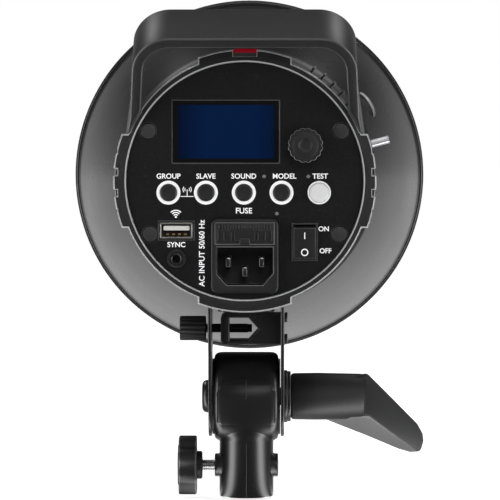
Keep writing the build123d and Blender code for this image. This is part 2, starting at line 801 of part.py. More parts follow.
encoder_y = panel_front + 0.6
with BuildPart() as dial_shaft:
    with BuildSketch(rear(encoder_y + 3, dial_at[0], dial_at[1])):
        Circle(dial_shaft_radius)
    extrude(amount=encoder_y + 3 - panel_y + dial_length - 2.5)
save(dial_shaft, "dial_shaft")

control_board_y = panel_front + control_board_gap
control_board_width = 2 * (plug_ring * cos(radians(plug_angles[0])) - post_radius - 0.8)
with BuildPart() as dial_encoder:
    with BuildSketch(rear(control_board_y, dial_at[0], dial_at[1])):
        Rectangle(encoder_size[0], encoder_size[1])
    extrude(amount=control_board_y - encoder_y)
    with BuildSketch(rear(encoder_y + 3.1, dial_at[0], dial_at[1])):
        Circle(dial_shaft_radius + tilt_run)
    extrude(amount=4, mode=Mode.SUBTRACT)
save(dial_encoder, "dial_encoder")

button_names = ("channel_button", "slave_button", "sound_button", "lamp_button", "test_button")
for name, x, radius in zip(button_names, button_x, button_radii):
    with BuildPart() as button:
        with BuildSketch(rear(panel_front + button_back, x, button_z)):
            Circle(radius)
        extrude(amount=panel_thickness + button_back + button_proud)
        fillet(button.edges().group_by(Axis.Y)[0], 0.4)
        with BuildSketch(rear(panel_front + button_back, x, button_z)):
            Circle(radius + button_flange)
        extrude(amount=flange_thickness)
    save(button, name)

with BuildPart() as button_rings:
    for x, radius, width in zip(button_x, button_radii, ring_widths):
        with BuildSketch(rear(panel_front, x, button_z)):
            Circle(radius + ring_gap + width)
            Circle(radius + ring_gap, mode=Mode.SUBTRACT)
        extrude(amount=panel_thickness + ring_proud)
save(button_rings, "button_rings")

# The board carries one switch behind each button.
with BuildPart() as control_board:
    with BuildSketch(rear(control_board_y + board_thickness + 0.1)):
        with Locations((0, 13)):
            Rectangle(control_board_width, 44)
        Circle(panel_radius - 4, mode=Mode.INTERSECT)
    extrude(amount=board_thickness)
    for x in button_x:
        with BuildSketch(rear(control_board_y + 0.1, x, button_z)):
            Rectangle(6, 6)
        extrude(amount=control_board_gap - button_back - button_travel - 0.2)
save(control_board, "control_board")

with BuildPart() as usb_socket:
    with BuildSketch(rear(panel_y + usb_depth, usb_at[0], usb_at[1])):
        Rectangle(usb_shell[0], usb_shell[1])
    extrude(amount=usb_depth + 0.3)
    with BuildSketch(rear(panel_y + usb_depth - 1.5, usb_at[0], usb_at[1])):
        Rectangle(usb_shell[0] - 2 * usb_wall, usb_shell[1] - 2 * usb_wall)
    extrude(amount=usb_depth, mode=Mode.SUBTRACT)
    with BuildSketch(rear(panel_y + usb_depth - 1, usb_at[0], usb_at[1] + usb_tongue_up)):
        Rectangle(usb_tongue[0], usb_tongue[1])
    extrude(amount=usb_depth - 2)
    with BuildSketch(rear(panel_y + 1.2, usb_at[0], usb_at[1])):
        Rectangle(usb_hole[0] - 2 * seat_gap, usb_hole[1] - 2 * seat_gap)
        Rectangle(usb_shell[0] - usb_wall, usb_shell[1] - usb_wall, mode=Mode.SUBTRACT)
    extrude(amount=1.2)
save(usb_socket, "usb_socket")

with BuildPart() as sync_jack:
    with BuildSketch(rear(panel_y + sync_depth, sync_at[0], sync_at[1])):
        Circle(sync_radius - sync_neck - seat_gap)
    extrude(amount=sync_depth)
    with BuildSketch(rear(panel_y, sync_at[0], sync_at[1])):
        Circle(sync_radius)
    extrude(amount=sync_nut)
    with BuildSketch(rear(panel_y + sync_depth - 2, sync_at[0], sync_at[1])):
        Circle(sync_hole_radius)
    extrude(amount=sync_depth, mode=Mode.SUBTRACT)
save(sync_jack, "sync_jack")

# ======== mains inlet, fuse drawer and switch ========
flange_y = panel_y - inlet_flange_thickness
inlet_margins = inlet_flange[0] - drawer_size[0]
pin_places = [(-pin_pitch / 2, 1.5), (pin_pitch / 2, 1.5), (0, -2.5)]
drawer_z = inlet_at[1] + inlet_flange[1] / 2 - inlet_margins / 2 - drawer_size[1] / 2
socket_z = drawer_z - drawer_size[1] / 2 - 1.5 - socket_size[1] / 2

with BuildPart() as inlet_housing:
    with BuildSketch(rear(panel_y)):
        with Locations(inlet_at):
            RectangleRounded(inlet_flange[0], inlet_flange[1], 3)
    extrude(amount=inlet_flange_thickness)
    fillet(inlet_housing.edges().group_by(Axis.Y)[0], 0.8)
    with BuildSketch(rear(panel_y)):
        with Locations(inlet_at):
            Rectangle(inlet_body[0], inlet_body[1])
    extrude(amount=-inlet_depth)
    with BuildSketch(rear(flange_y, 0, socket_z)):
        with BuildLine():
            Polyline((-socket_size[0] / 2, socket_size[1] / 2),
                     (-socket_size[0] / 2, socket_corner[1] - socket_size[1] / 2),
                     (socket_corner[0] - socket_size[0] / 2, -socket_size[1] / 2),
                     (socket_size[0] / 2 - socket_corner[0], -socket_size[1] / 2),
                     (socket_size[0] / 2, socket_corner[1] - socket_size[1] / 2),
                     (socket_size[0] / 2, socket_size[1] / 2), close=True)
        make_face()
    extrude(amount=-socket_cavity, mode=Mode.SUBTRACT)
    with BuildSketch(rear(flange_y, 0, drawer_z)):
        Rectangle(drawer_size[0] + 2 * drawer_run, drawer_size[1] + 2 * drawer_run)
    extrude(amount=-drawer_length - 1, mode=Mode.SUBTRACT)
    with BuildSketch(rear(flange_y, 0, socket_z)):
        with Locations(pin_places):
            Rectangle(pin_size[0] + 2 * seat_gap, pin_size[1] + 2 * seat_gap)
    extrude(amount=-inlet_depth - 4, mode=Mode.SUBTRACT)
save(inlet_housing, "inlet_housing")

with BuildPart() as inlet_pins:
    with BuildSketch(rear(flange_y + 3, 0, socket_z)):
        with Locations(pin_places):
            Rectangle(pin_size[0], pin_size[1])
    extrude(amount=-inlet_depth - 3)
save(inlet_pins, "inlet_pins")

with BuildPart() as fuse_drawer:
    with BuildSketch(rear(flange_y + drawer_length, 0, drawer_z)):
        Rectangle(drawer_size[0], drawer_size[1])
    extrude(amount=drawer_length)
    with BuildSketch(rear(flange_y, 0, drawer_z - drawer_size[1] / 2 + 1.2)):
        Rectangle(4, 1.8)
    extrude(amount=0.8)
    with BuildSketch(Plane(origin=(0, flange_y + drawer_length / 2 + 1,
                                   lamp_height + drawer_z + drawer_size[1] / 2))):
        Rectangle(fuse_length + 1, 2 * fuse_radius + 1)
    extrude(amount=-drawer_size[1] + 1, mode=Mode.SUBTRACT)
save(fuse_drawer, "fuse_drawer")

fuse_plane = Plane(origin=(-fuse_length / 2, flange_y + drawer_length / 2 + 1, lamp_height + drawer_z),
                   x_dir=(0, 1, 0), z_dir=(1, 0, 0))
with BuildPart() as fuse:
    with BuildSketch(fuse_plane):
        Circle(fuse_radius)
    extrude(amount=fuse_length)
save(fuse, "fuse")

with BuildPart() as rocker_frame:
    with BuildSketch(rear(panel_y + 14, rocker_at[0], rocker_at[1])):
        Rectangle(rocker_frame_size[0], rocker_frame_size[1])
    extrude(amount=14 + 0.6)
    with BuildSketch(rear(panel_y + 8, rocker_at[0], rocker_at[1])):
        Rectangle(rocker_opening[0], rocker_opening[1])
    extrude(amount=20, mode=Mode.SUBTRACT)
save(rocker_frame, "rocker_frame")

# The rocker stands at off: its lower half lies level and its upper end stands out.
half_throw = radians(rocker_throw / 2)
rocker_pivot_y = panel_y + 1.8
rocker_plane = Plane(origin=(rocker_at[0] + rocker_width / 2, rocker_pivot_y, lamp_height + rocker_at[1]),
                     x_dir=(0, -cos(half_throw), -sin(half_throw)), z_dir=(-1, 0, 0))
rocker_end = rocker_half - 0.4
with BuildPart() as rocker:
    with BuildSketch(rocker_plane):
        with BuildLine():
            Polyline((3, 0), (3 + rocker_end * sin(half_throw), rocker_end), (0, rocker_half),
                     (-1.5, rocker_end), (-1.5, -rocker_end), (0, -rocker_half),
                     (3 + rocker_end * sin(half_throw), -rocker_end), close=True)
        make_face()
    extrude(amount=rocker_width)
save(rocker, "rocker")

# ======== inside ========
chassis_y = panel_y + chassis_start
with BuildPart() as chassis:
    with BuildSketch(rear(chassis_y + chassis_length)):
        with BuildLine():
            Polyline((-chassis_width / 2, -chassis_drop + 8), (-chassis_width / 2, -chassis_drop),
                     (chassis_width / 2, -chassis_drop), (chassis_width / 2, -chassis_drop + 8))
            offset(amount=chassis_thickness / 2, side=Side.BOTH)
        make_face()
    extrude(amount=chassis_length)
save(chassis, "chassis")

board_z = lamp_height - chassis_drop + chassis_thickness + 4
with BuildPart() as main_board:
    with BuildSketch(Plane.XY.offset(board_z)):
        with Locations((0, chassis_y + chassis_length / 2)):
            Rectangle(chassis_width - 8, chassis_length - 6)
    extrude(amount=board_thickness)
    for x, y, radius in board_parts:
        with BuildSketch(Plane(origin=(x, chassis_y + chassis_length / 2 + y, board_z))):
            Circle(radius)
        extrude(amount=board_part_height)
    with BuildSketch(Plane(origin=(-24, chassis_y + 20, board_z))):
        for step in range(6):
            with Locations((4 * step - 10, 0)):
                Rectangle(1.4, 20)
        Rectangle(22, 3)
    extrude(amount=22)
save(main_board, "main_board")

with BuildPart() as transformer:
    with BuildSketch(Plane(origin=(14, chassis_y + chassis_length / 2 + 12, board_z + board_thickness
                                   + seat_gap))):
        Rectangle(core_size[0], core_size[1])
    extrude(amount=core_size[2])
    with BuildSketch(Plane(origin=(14, chassis_y + chassis_length / 2 - 7, board_z + board_thickness
                                   + seat_gap + 12), x_dir=(1, 0, 0), z_dir=(0, -1, 0))):
        RectangleRounded(winding_size[0], winding_size[1], 4)
    extrude(amount=-winding_size[2])
save(transformer, "transformer")

capacitor_z = lamp_height - chassis_drop - chassis_thickness - capacitor_radius
with BuildPart() as capacitors:
    for side in (-1, 1):
        with BuildSketch(rear(chassis_y + 4 + capacitor_length, side * (capacitor_radius + 1),
                              capacitor_z - lamp_height)):
            Circle(capacitor_radius)
        extrude(amount=capacitor_length)
save(capacitors, "capacitors")

fan_y = chassis_y + chassis_length + 8
fan_duct = fan_size / 2 - 1.5
with BuildPart() as fan_frame:
    with BuildSketch(rear(fan_y + fan_depth)):
        RectangleRounded(fan_size, fan_size, 5)
        Circle(fan_duct, mode=Mode.SUBTRACT)
    extrude(amount=fan_depth)
    with BuildSketch(rear(fan_y + fan_depth)):
        Circle(fan_hub_radius)
        with PolarLocations(fan_duct / 2 + 2, 3, 45):
            Rectangle(fan_duct, fan_spider)
        Circle(fan_duct + 1, mode=Mode.INTERSECT)
    extrude(amount=fan_spider)
save(fan_frame, "fan_frame")

fan_blade_pitch = radians(fan_pitch)
fan_middle = fan_y + (fan_depth - fan_spider - fan_run) / 2
with BuildPart() as fan_rotor:
    with BuildSketch(rear(fan_y + fan_depth - fan_spider - fan_run)):
        Circle(fan_hub_radius)
    extrude(amount=fan_depth - fan_spider - 1 - fan_run)
    for index in range(fan_blade_count):
        turn = radians(index * 360 / fan_blade_count)
        outward = (cos(turn), 0, sin(turn))
        normal = (-sin(turn) * sin(fan_blade_pitch), cos(fan_blade_pitch),
                  cos(turn) * sin(fan_blade_pitch))
        with BuildSketch(Plane(origin=(0, fan_middle, lamp_height), x_dir=outward, z_dir=normal)):
            with Locations((fan_hub_radius - 2, 0)):
                Rectangle(fan_duct - fan_run - fan_hub_radius + 1, fan_blade[0],
                          align=(Align.MIN, Align.CENTER))
        extrude(amount=fan_blade[1])
save(fan_rotor, "fan_rotor")

# ======== front collar, bayonet and latch ========
ring_back = front_y - bayonet_thickness
ring_outer = collar_radius - 4.5
ledge_radius = ring_outer - 3
collar_inside = collar_radius - 3
latch_turn = radians(latch_angle)
latch_out = (cos(latch_turn), 0, sin(latch_turn))
latch_y = ring_back - 0.3 - lug_thickness / 2
lug_radius = bayonet_radius + lug_reach


# A plane facing out along the latch, at a radius from the lamp axis: local x runs along Y.
def latch_plane(radius):
    return Plane(origin=(radius * cos(latch_turn), latch_y, lamp_height + radius * sin(latch_turn)),
                 x_dir=(0, 1, 0), z_dir=latch_out)


with BuildPart() as front_collar:
    with BuildSketch(lamp_plane):
        with BuildLine():
            Polyline((housing_front + split_gap, inner_front), (housing_front + split_gap, shell_front_radius),
                     (housing_front + 4, collar_radius), (front_y - 1.5, collar_radius),
                     (front_y, collar_radius - 1.5), (front_y, ring_outer + seat_gap),
                     (ring_back - seat_gap, ring_outer + seat_gap), (ring_back - seat_gap, ledge_radius),
                     (ring_back - 3, ledge_radius), (ring_back - 3, collar_inside),
                     (housing_front + 6, collar_inside), (housing_front + 3, inner_front), close=True)
        make_face()
    revolve(axis=lamp_axis)
    # shallow grip grooves round the collar
    with BuildSketch(rear(housing_front + 8)):
        with PolarLocations(collar_radius, 60):
            Rectangle(1.6, 2.2)
    extrude(amount=-22, mode=Mode.SUBTRACT)
    with BuildSketch(latch_plane(ledge_radius - 3)):
        Rectangle(latch_depth + 2 * latch_run, latch_height + 2 * latch_run)
    extrude(amount=collar_radius, mode=Mode.SUBTRACT)
save(front_collar, "front_collar")

with BuildPart() as bayonet_ring:
    with BuildSketch(rear(front_y)):
        Circle(ring_outer)
        Circle(bayonet_radius, mode=Mode.SUBTRACT)
        with PolarLocations(bayonet_radius, 3, 90):
            Rectangle(2 * (lug_reach + 0.5), lug_width + 2, mode=Mode.SUBTRACT)
    extrude(amount=bayonet_thickness)
save(bayonet_ring, "bayonet_ring")

latch_tip = lug_radius + 0.35
with BuildPart() as release_latch:
    with BuildSketch(latch_plane(latch_tip)):
        Circle(latch_depth / 2)
    extrude(amount=ledge_radius - latch_tip)
    with BuildSketch(latch_plane(ledge_radius)):
        RectangleRounded(latch_depth, latch_height, 1.2)
    extrude(amount=latch_end - ledge_radius)
save(release_latch, "release_latch")

# ======== flash tube and modelling lamp ========
sleeve_radius = bayonet_radius - 0.4
plate_radius = sleeve_radius - 1.4 - 0.8
plate_back = housing_front + 16
plate_front = front_y - lamp_plate_rise
with BuildPart() as lamp_plate:
    with BuildSketch(lamp_plane):
        with BuildLine():
            Polyline((plate_back, collar_inside - seat_gap), (plate_back + 2, collar_inside - seat_gap),
                     (plate_back + 2, plate_radius), (plate_front, plate_radius), (plate_front, 0),
                     (plate_front - 2, 0), (plate_front - 2, plate_radius - 2),
                     (plate_back, plate_radius - 2), close=True)
        make_face()
    revolve(axis=lamp_axis)
    with BuildSketch(rear(plate_front)):
        Circle(holder_radius + seat_gap)
        with Locations([(x, -tube_ring_radius) for x in (-7, 7)]):
            Circle(tube_radius + 1)
    extrude(amount=2.1, both=True, mode=Mode.SUBTRACT)
save(lamp_plate, "lamp_plate")

holder_front = plate_front + 4
with BuildPart() as lamp_holder:
    with BuildSketch(rear(holder_front)):
        Circle(holder_radius)
    extrude(amount=holder_length)
    with BuildSketch(rear(holder_front)):
        Circle(bulb_neck_radius + seat_gap)
    extrude(amount=holder_length - 6, mode=Mode.SUBTRACT)
save(lamp_holder, "lamp_holder")

neck_back = holder_front - holder_length + 7
bulb_front = holder_front + bulb_length
with BuildPart() as modelling_lamp:
    with BuildSketch(lamp_plane):
        with BuildLine():
            Polyline((bulb_front, 0), (neck_back, 0), (neck_back, bulb_neck_radius),
                     (holder_front + 1, bulb_neck_radius), (holder_front + 10, bulb_radius),
                     (bulb_front - bulb_radius, bulb_radius))
            RadiusArc((bulb_front - bulb_radius, bulb_radius), (bulb_front, 0), bulb_radius)
        make_face()
    revolve(axis=lamp_axis)
save(modelling_lamp, "modelling_lamp")

tube_y = front_y + 3
tube_gap = 2 * degrees(asin(7 / tube_ring_radius))
with BuildPart() as flash_tube:
    with BuildSketch(Plane(origin=(7, tube_y, lamp_height - sqrt(tube_ring_radius ** 2 - 49)),
                           x_dir=(0, 1, 0), z_dir=(-1, 0, 0))):
        Circle(tube_radius)
    revolve(axis=lamp_axis, revolution_arc=-(360 - tube_gap))
    for x in (-7, 7):
        with BuildSketch(rear(tube_y, x, -sqrt(tube_ring_radius ** 2 - 49))):
            Circle(tube_radius)
        extrude(amount=tube_y - plate_front + 8)
save(flash_tube, "flash_tube")

# ======== reflector ========
bowl_start = front_y + lug_run
bowl_end = bowl_start + bowl_wall + bowl_length
bowl_middle = (bowl_start + bowl_end) / 2 - 5
with BuildPart() as reflector:
    with BuildSketch(lamp_plane):
        with BuildLine():
            ThreePointArc((bowl_start + bowl_wall, bowl_start_radius), (bowl_middle, bowl_bulge),
                          (bowl_end, rim_radius - rim_roll))
            Line((bowl_end, rim_radius - rim_roll), (bowl_end, rim_radius - rim_roll - bowl_wall))
            ThreePointArc((bowl_end, rim_radius - rim_roll - bowl_wall), (bowl_middle, bowl_bulge - bowl_wall),
                          (bowl_start + bowl_wall, bowl_start_radius - bowl_wall))
            Line((bowl_start + bowl_wall, bowl_start_radius - bowl_wall),
                 (bowl_start + bowl_wall, bowl_start_radius))
        make_face()
        with Locations((bowl_end, rim_radius - rim_roll)):
            Circle(rim_roll)
        # the flange in front of the bayonet ring, and the sleeve inside it
        with BuildLine():
            Polyline((bowl_start, bowl_start_radius), (bowl_start + bowl_wall + 0.2, bowl_start_radius),
                     (bowl_start + bowl_wall + 0.2, sleeve_radius - 1.4),
                     (ring_back - 0.3 - lug_thickness, sleeve_radius - 1.4),
                     (ring_back - 0.3 - lug_thickness, sleeve_radius), (bowl_start, sleeve_radius),
                     close=True)
        make_face()
    revolve(axis=lamp_axis)
    with BuildSketch(rear(ring_back - lug_run)):
        with PolarLocations(lug_radius / 2 + sleeve_radius / 2 - 0.5, 3, 90 - twist):
            Rectangle(lug_radius - sleeve_radius + 1, lug_width)
        Circle(lug_radius, mode=Mode.INTERSECT)
    extrude(amount=lug_thickness)
    hole_turn = radians(bowl_hole_angle)
    hole_out = (cos(hole_turn), 0, sin(hole_turn))
    with BuildSketch(Plane(origin=(40 * hole_out[0], front_y + bowl_hole_y, lamp_height + 40 * hole_out[2]),
                           x_dir=(0, 1, 0), z_dir=hole_out)):
        Circle(bowl_hole_radius)
    extrude(amount=rim_radius, mode=Mode.SUBTRACT)
save(reflector, "reflector")
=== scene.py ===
import bpy
import json
from math import atan2, cos, pi, radians, sin, sqrt
from mathutils import Matrix, Vector


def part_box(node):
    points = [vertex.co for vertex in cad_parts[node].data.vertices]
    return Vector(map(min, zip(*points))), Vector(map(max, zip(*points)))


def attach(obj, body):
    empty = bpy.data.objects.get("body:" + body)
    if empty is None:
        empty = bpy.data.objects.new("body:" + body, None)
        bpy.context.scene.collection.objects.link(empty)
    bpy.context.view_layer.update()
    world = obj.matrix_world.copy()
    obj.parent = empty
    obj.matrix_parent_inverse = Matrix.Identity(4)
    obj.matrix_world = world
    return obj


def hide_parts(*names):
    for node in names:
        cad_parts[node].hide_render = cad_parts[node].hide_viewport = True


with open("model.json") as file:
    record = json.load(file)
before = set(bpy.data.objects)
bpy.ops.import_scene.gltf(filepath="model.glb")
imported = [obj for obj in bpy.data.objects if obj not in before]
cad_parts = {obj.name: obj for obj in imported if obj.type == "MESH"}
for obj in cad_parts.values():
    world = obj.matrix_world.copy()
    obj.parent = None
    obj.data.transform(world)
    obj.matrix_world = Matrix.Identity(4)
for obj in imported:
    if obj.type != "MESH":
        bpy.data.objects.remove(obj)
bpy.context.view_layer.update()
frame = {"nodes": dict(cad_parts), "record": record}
nodes = frame["nodes"]

panelLow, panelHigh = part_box("rear_panel")
lampAxis = Vector(((panelLow.x + panelHigh.x) / 2, 0, (panelLow.z + panelHigh.z) / 2))
panelY = panelLow.y
print("frame loaded:", len(nodes), "nodes")

bodies = frame["record"]["behaviour"]["bodies"]
bodyOf = {node: body for body, members in bodies.items() for node in members}
slotOf = {row["node"]: row["material_slot"] for row in frame["record"]["subparts"]}
mm = 0.001
axisZ = 1000 * lampAxis.z       # heights below are in millimetres
faceY = 1000 * panelY


# modelling helpers
def deselectAll():
    if bpy.context.object and bpy.context.object.mode != "OBJECT":
        bpy.ops.object.mode_set(mode="OBJECT")
    bpy.ops.object.select_all(action="DESELECT")


def pick(piece):
    deselectAll()
    piece.select_set(True)
    bpy.context.view_layer.objects.active = piece


def settle(piece):
    # the place goes into the mesh, so the object sits at the origin
    pick(piece)
    bpy.ops.object.transform_apply(location=True, rotation=True, scale=True)


def applyAll(piece):
    pick(piece)
    for modifier in list(piece.modifiers):
        bpy.ops.object.modifier_apply(modifier=modifier.name)


def smooth(piece, angle=35):
    pick(piece)
    bpy.ops.object.shade_smooth_by_angle(angle=radians(angle))


def bevelEdges(piece, width, segments=2, angle=30, paintHighlight=False, clamp=True):
    # the bevels can take the piece's second finish, a lighter one that paints a highlight along the edges
    bevel = piece.modifiers.new("bevel", "BEVEL")
    bevel.width = width * mm
    bevel.segments = segments
    bevel.limit_method = "ANGLE"
    bevel.angle_limit = radians(angle)
    bevel.use_clamp_overlap = clamp
    bevel.material = 1 if paintHighlight else -1
    applyAll(piece)


def edit(mode="VERT"):
    bpy.ops.object.mode_set(mode="EDIT")
    bpy.ops.mesh.select_mode(type=mode)


def outside():
    # merges what touches, and turns every face outwards
    bpy.ops.mesh.select_all(action="SELECT")
    bpy.ops.mesh.remove_doubles(threshold=0.002 * mm)
    bpy.ops.mesh.normals_make_consistent(inside=False)
    bpy.ops.object.mode_set(mode="OBJECT")


def drawLine(name, points):
    # a chain of edges, extruded point by point
    deselectAll()
    bpy.ops.mesh.primitive_plane_add(size=mm)
    piece = bpy.context.object
    piece.name = name
    edit()
    bpy.ops.mesh.merge(type="CENTER")
    bpy.ops.transform.translate(value=points[0])
    for start, end in zip(points, points[1:]):
        bpy.ops.mesh.extrude_region_move(TRANSFORM_OT_translate={"value": Vector(end) - Vector(start)})
    bpy.ops.mesh.select_all(action="SELECT")
    return piece


axes = {"X": Vector((1, 0, 0)), "Y": Vector((0, 1, 0)), "Z": Vector((0, 0, 1))}
sides = {"X": Vector((0, 0, 1)), "Y": Vector((1, 0, 0)), "Z": Vector((1, 0, 0))}


def turned(name, profile, centre, axis="Y", steps=64, arc=360.0, start=0.0):
    # profile: (along, radius) pairs in millimetres about an axis through centre; an arc's ends are closed
    along = axes[axis]
    out = Matrix.Rotation(radians(start), 3, along) @ sides[axis]
    piece = drawLine(name, [Vector(centre) + along * a * mm + out * r * mm for a, r in profile])
    bpy.ops.mesh.spin(steps=steps, angle=radians(arc), center=centre, axis=along)
    outside()
    if arc < 360:
        edit()
        bpy.ops.mesh.select_all(action="DESELECT")
        bpy.ops.mesh.select_non_manifold()
        bpy.ops.mesh.fill_holes(sides=0)
        outside()
    return piece


def panelSpot(right, up):
    # the foot of an axis that runs backwards through the panel, from millimetres off the lamp's axis
    return Vector((right * mm, 0, (axisZ + up) * mm))


def standSpot(up):
    # a point over the stand, on its own axis
    return Vector((0, 0, up * mm))


def place(right, up, y, facing):
    # millimetres on a plane: rear planes face backwards, side planes face right, flat planes face up
    if facing == "rear":
        return Vector((right, y, up)) * mm
    if facing == "side":
        return Vector((y, right, up)) * mm
    return Vector((right, up, y)) * mm


push = {"rear": Vector((0, 1, 0)), "side": Vector((1, 0, 0)), "flat": Vector((0, 0, 1))}


def prism(name, outline, y, depth, facing="rear"):
    # a filled outline, extruded from station y by depth
    piece = drawLine(name, [place(a, b, y, facing) for a, b in outline])
    bpy.ops.mesh.edge_face_add()
    bpy.ops.mesh.extrude_region_move(TRANSFORM_OT_translate={"value": push[facing] * depth * mm})
    outside()
    return piece


def corners(width, height, radius, right=0.0, up=0.0, steps=5):
    # a rectangle with round corners
    points = []
    for turn, (sx, sy) in enumerate(((1, 1), (-1, 1), (-1, -1), (1, -1))):
        for step in range(steps + 1):
            angle = radians(90 * (turn + step / steps))
            points.append((right + sx * (width / 2 - radius) + radius * cos(angle),
                           up + sy * (height / 2 - radius) + radius * sin(angle)))
    return points


def ringPoints(radius, right=0.0, up=0.0, steps=32, start=0.0, arc=360.0):
    return [(right + radius * cos(radians(start + arc * k / steps)),
             up + radius * sin(radians(start + arc * k / steps))) for k in range(steps + (arc < 360))]


def carve(piece, tool, operation="DIFFERENCE"):
    cut = piece.modifiers.new("cut", "BOOLEAN")
    cut.operation = operation
    cut.object = tool
    cut.solver = "EXACT"
    applyAll(piece)
    bpy.data.objects.remove(tool)


def join(name, parts):
    deselectAll()
    for part in parts:
        part.select_set(True)
    bpy.context.view_layer.objects.active = parts[0]
    bpy.ops.object.join()
    parts[0].name = name
    return parts[0]


def copied(piece, moves):
    # the piece at each move in turn, every copy with its own mesh
    made = []
    for move in moves:
        copy = bpy.data.objects.new(piece.name, piece.data.copy())
        bpy.context.scene.collection.objects.link(copy)
        copy.matrix_basis = move
        settle(copy)
        made.append(copy)
    bpy.data.objects.remove(piece)
    return made


def shift(right=0.0, y=0.0, up=0.0):
    return Matrix.Translation(Vector((right, y, up)) * mm)


def aboutLamp(degrees):
    # a turn about the lamp's axis
    turn = Matrix.Rotation(radians(degrees), 4, "Y")
    return Matrix.Translation(lampAxis) @ turn @ Matrix.Translation(-lampAxis)


def fluted(name, centre, axis, radius, length, depths, flutes):
    # a knob blank: depths are the radii of the points of one flute, as shares of the radius
    turns = {"X": (0, pi / 2, 0), "Y": (pi / 2, 0, 0), "Z": (0, 0, 0)}
    deselectAll()
    middle = Vector(centre) + axes[axis] * length * mm / 2
    points = flutes * len(depths)
    bpy.ops.mesh.primitive_cylinder_add(vertices=points, radius=radius * mm, depth=length * mm,
                                        location=middle, rotation=turns[axis])
    piece = bpy.context.object
    piece.name = name
    settle(piece)
    shrink = {"X": (0, 1, 1), "Y": (1, 0, 1), "Z": (1, 1, 0)}[axis]
    for index, depth in enumerate(depths):
        if depth == 1:
            continue
        edit()
        bpy.ops.mesh.select_all(action="DESELECT")
        bpy.ops.object.mode_set(mode="OBJECT")
        for vertex in piece.data.vertices:
            offset = vertex.co - Vector(centre)
            a, b = [offset[k] for k in range(3) if shrink[k]]
            step = round(atan2(b, a) / (2 * pi) * points)
            vertex.select = step % len(depths) == index
        edit()
        bpy.ops.transform.resize(value=[depth if k else 1 for k in shrink], center_override=centre)
    bpy.ops.object.mode_set(mode="OBJECT")
    return piece


# shader groups, built once and placed in each material
def newGroup(name, inputs, outputs):
    group = bpy.data.node_groups.new(name, "ShaderNodeTree")
    for label, kind, value in inputs:
        socket = group.interface.new_socket(label, in_out="INPUT", socket_type=kind)
        if value is not None:
            socket.default_value = value
    for label, kind in outputs:
        group.interface.new_socket(label, in_out="OUTPUT", socket_type=kind)
    start = group.nodes.new("NodeGroupInput")
    end = group.nodes.new("NodeGroupOutput")
    return group, start, end


def objectNoise(group, start, scale, detail, roughness=0.5):
    coords = group.nodes.new("ShaderNodeTexCoord")
    noise = group.nodes.new("ShaderNodeTexNoise")
    noise.inputs["Detail"].default_value = detail
    noise.inputs["Roughness"].default_value = roughness
    group.links.new(coords.outputs["Object"], noise.inputs["Vector"])
    if isinstance(scale, str):
        group.links.new(start.outputs[scale], noise.inputs["Scale"])
    else:
        noise.inputs["Scale"].default_value = scale
    return noise


def mathNode(group, operation, a, b):
    node = group.nodes.new("ShaderNodeMath")
    node.operation = operation
    for socket, value in zip(node.inputs, (a, b)):
        if isinstance(value, (int, float)):
            socket.default_value = value
        else:
            group.links.new(value, socket)
    return node.outputs[0]


def mapRange(group, value, low, high, newLow, newHigh):
    node = group.nodes.new("ShaderNodeMapRange")
    group.links.new(value, node.inputs["Value"])
    for label, setting in (("From Min", low), ("From Max", high), ("To Min", newLow), ("To Max", newHigh)):
        if isinstance(setting, (int, float)):
            node.inputs[label].default_value = setting
        else:
            group.links.new(setting, node.inputs[label])
    return node.outputs["Result"]


def mixColor(group, factor, a, b):
    node = group.nodes.new("ShaderNodeMix")
    node.data_type = "RGBA"
    group.links.new(factor, node.inputs["Factor"])
    for label, value in (("A", a), ("B", b)):
        socket = [s for s in node.inputs if s.name == label and s.type == "RGBA"][0]
        if isinstance(value, (tuple, list)):
            socket.default_value = value
        else:
            group.links.new(value, socket)
    return [s for s in node.outputs if s.type == "RGBA"][0]


def makeGrainGroup():
    # moulded or painted grain: a height, a colour that drifts a little, and a roughness that drifts
    group, start, end = newGroup(
        "surfaceGrain",
        [("Color", "NodeSocketColor", (0.02, 0.02, 0.02, 1)), ("Grain Scale", "NodeSocketFloat", 2500.0),
         ("Roughness", "NodeSocketFloat", 0.5), ("Variation", "NodeSocketFloat", 0.15),
         ("Speckle", "NodeSocketFloat", 0.3)],
        [("Color", "NodeSocketColor"), ("Roughness", "NodeSocketFloat"), ("Height", "NodeSocketFloat")])
    grain = objectNoise(group, start, "Grain Scale", 3.0, 0.6)
    drift = objectNoise(group, start, 38.0, 4.0, 0.55)
    height = mapRange(group, grain.outputs["Fac"], 0.35, 0.65, 0.0, 1.0)
    rough = mathNode(group, "MULTIPLY", mathNode(group, "SUBTRACT", drift.outputs["Fac"], 0.5),
                     start.outputs["Variation"])
    roughOut = mathNode(group, "ADD", start.outputs["Roughness"], rough)
    bright = mathNode(group, "MULTIPLY", start.outputs["Speckle"], mathNode(group, "SUBTRACT", height, 0.5))
    shade = mathNode(group, "ADD", mathNode(group, "ADD", bright, 1.0), rough)
    scaled = group.nodes.new("ShaderNodeVectorMath")
    scaled.operation = "SCALE"
    group.links.new(start.outputs["Color"], scaled.inputs[0])
    group.links.new(shade, scaled.inputs["Scale"])
    group.links.new(scaled.outputs["Vector"], end.inputs["Color"])
    group.links.new(roughOut, end.inputs["Roughness"])
    group.links.new(height, end.inputs["Height"])
    return group


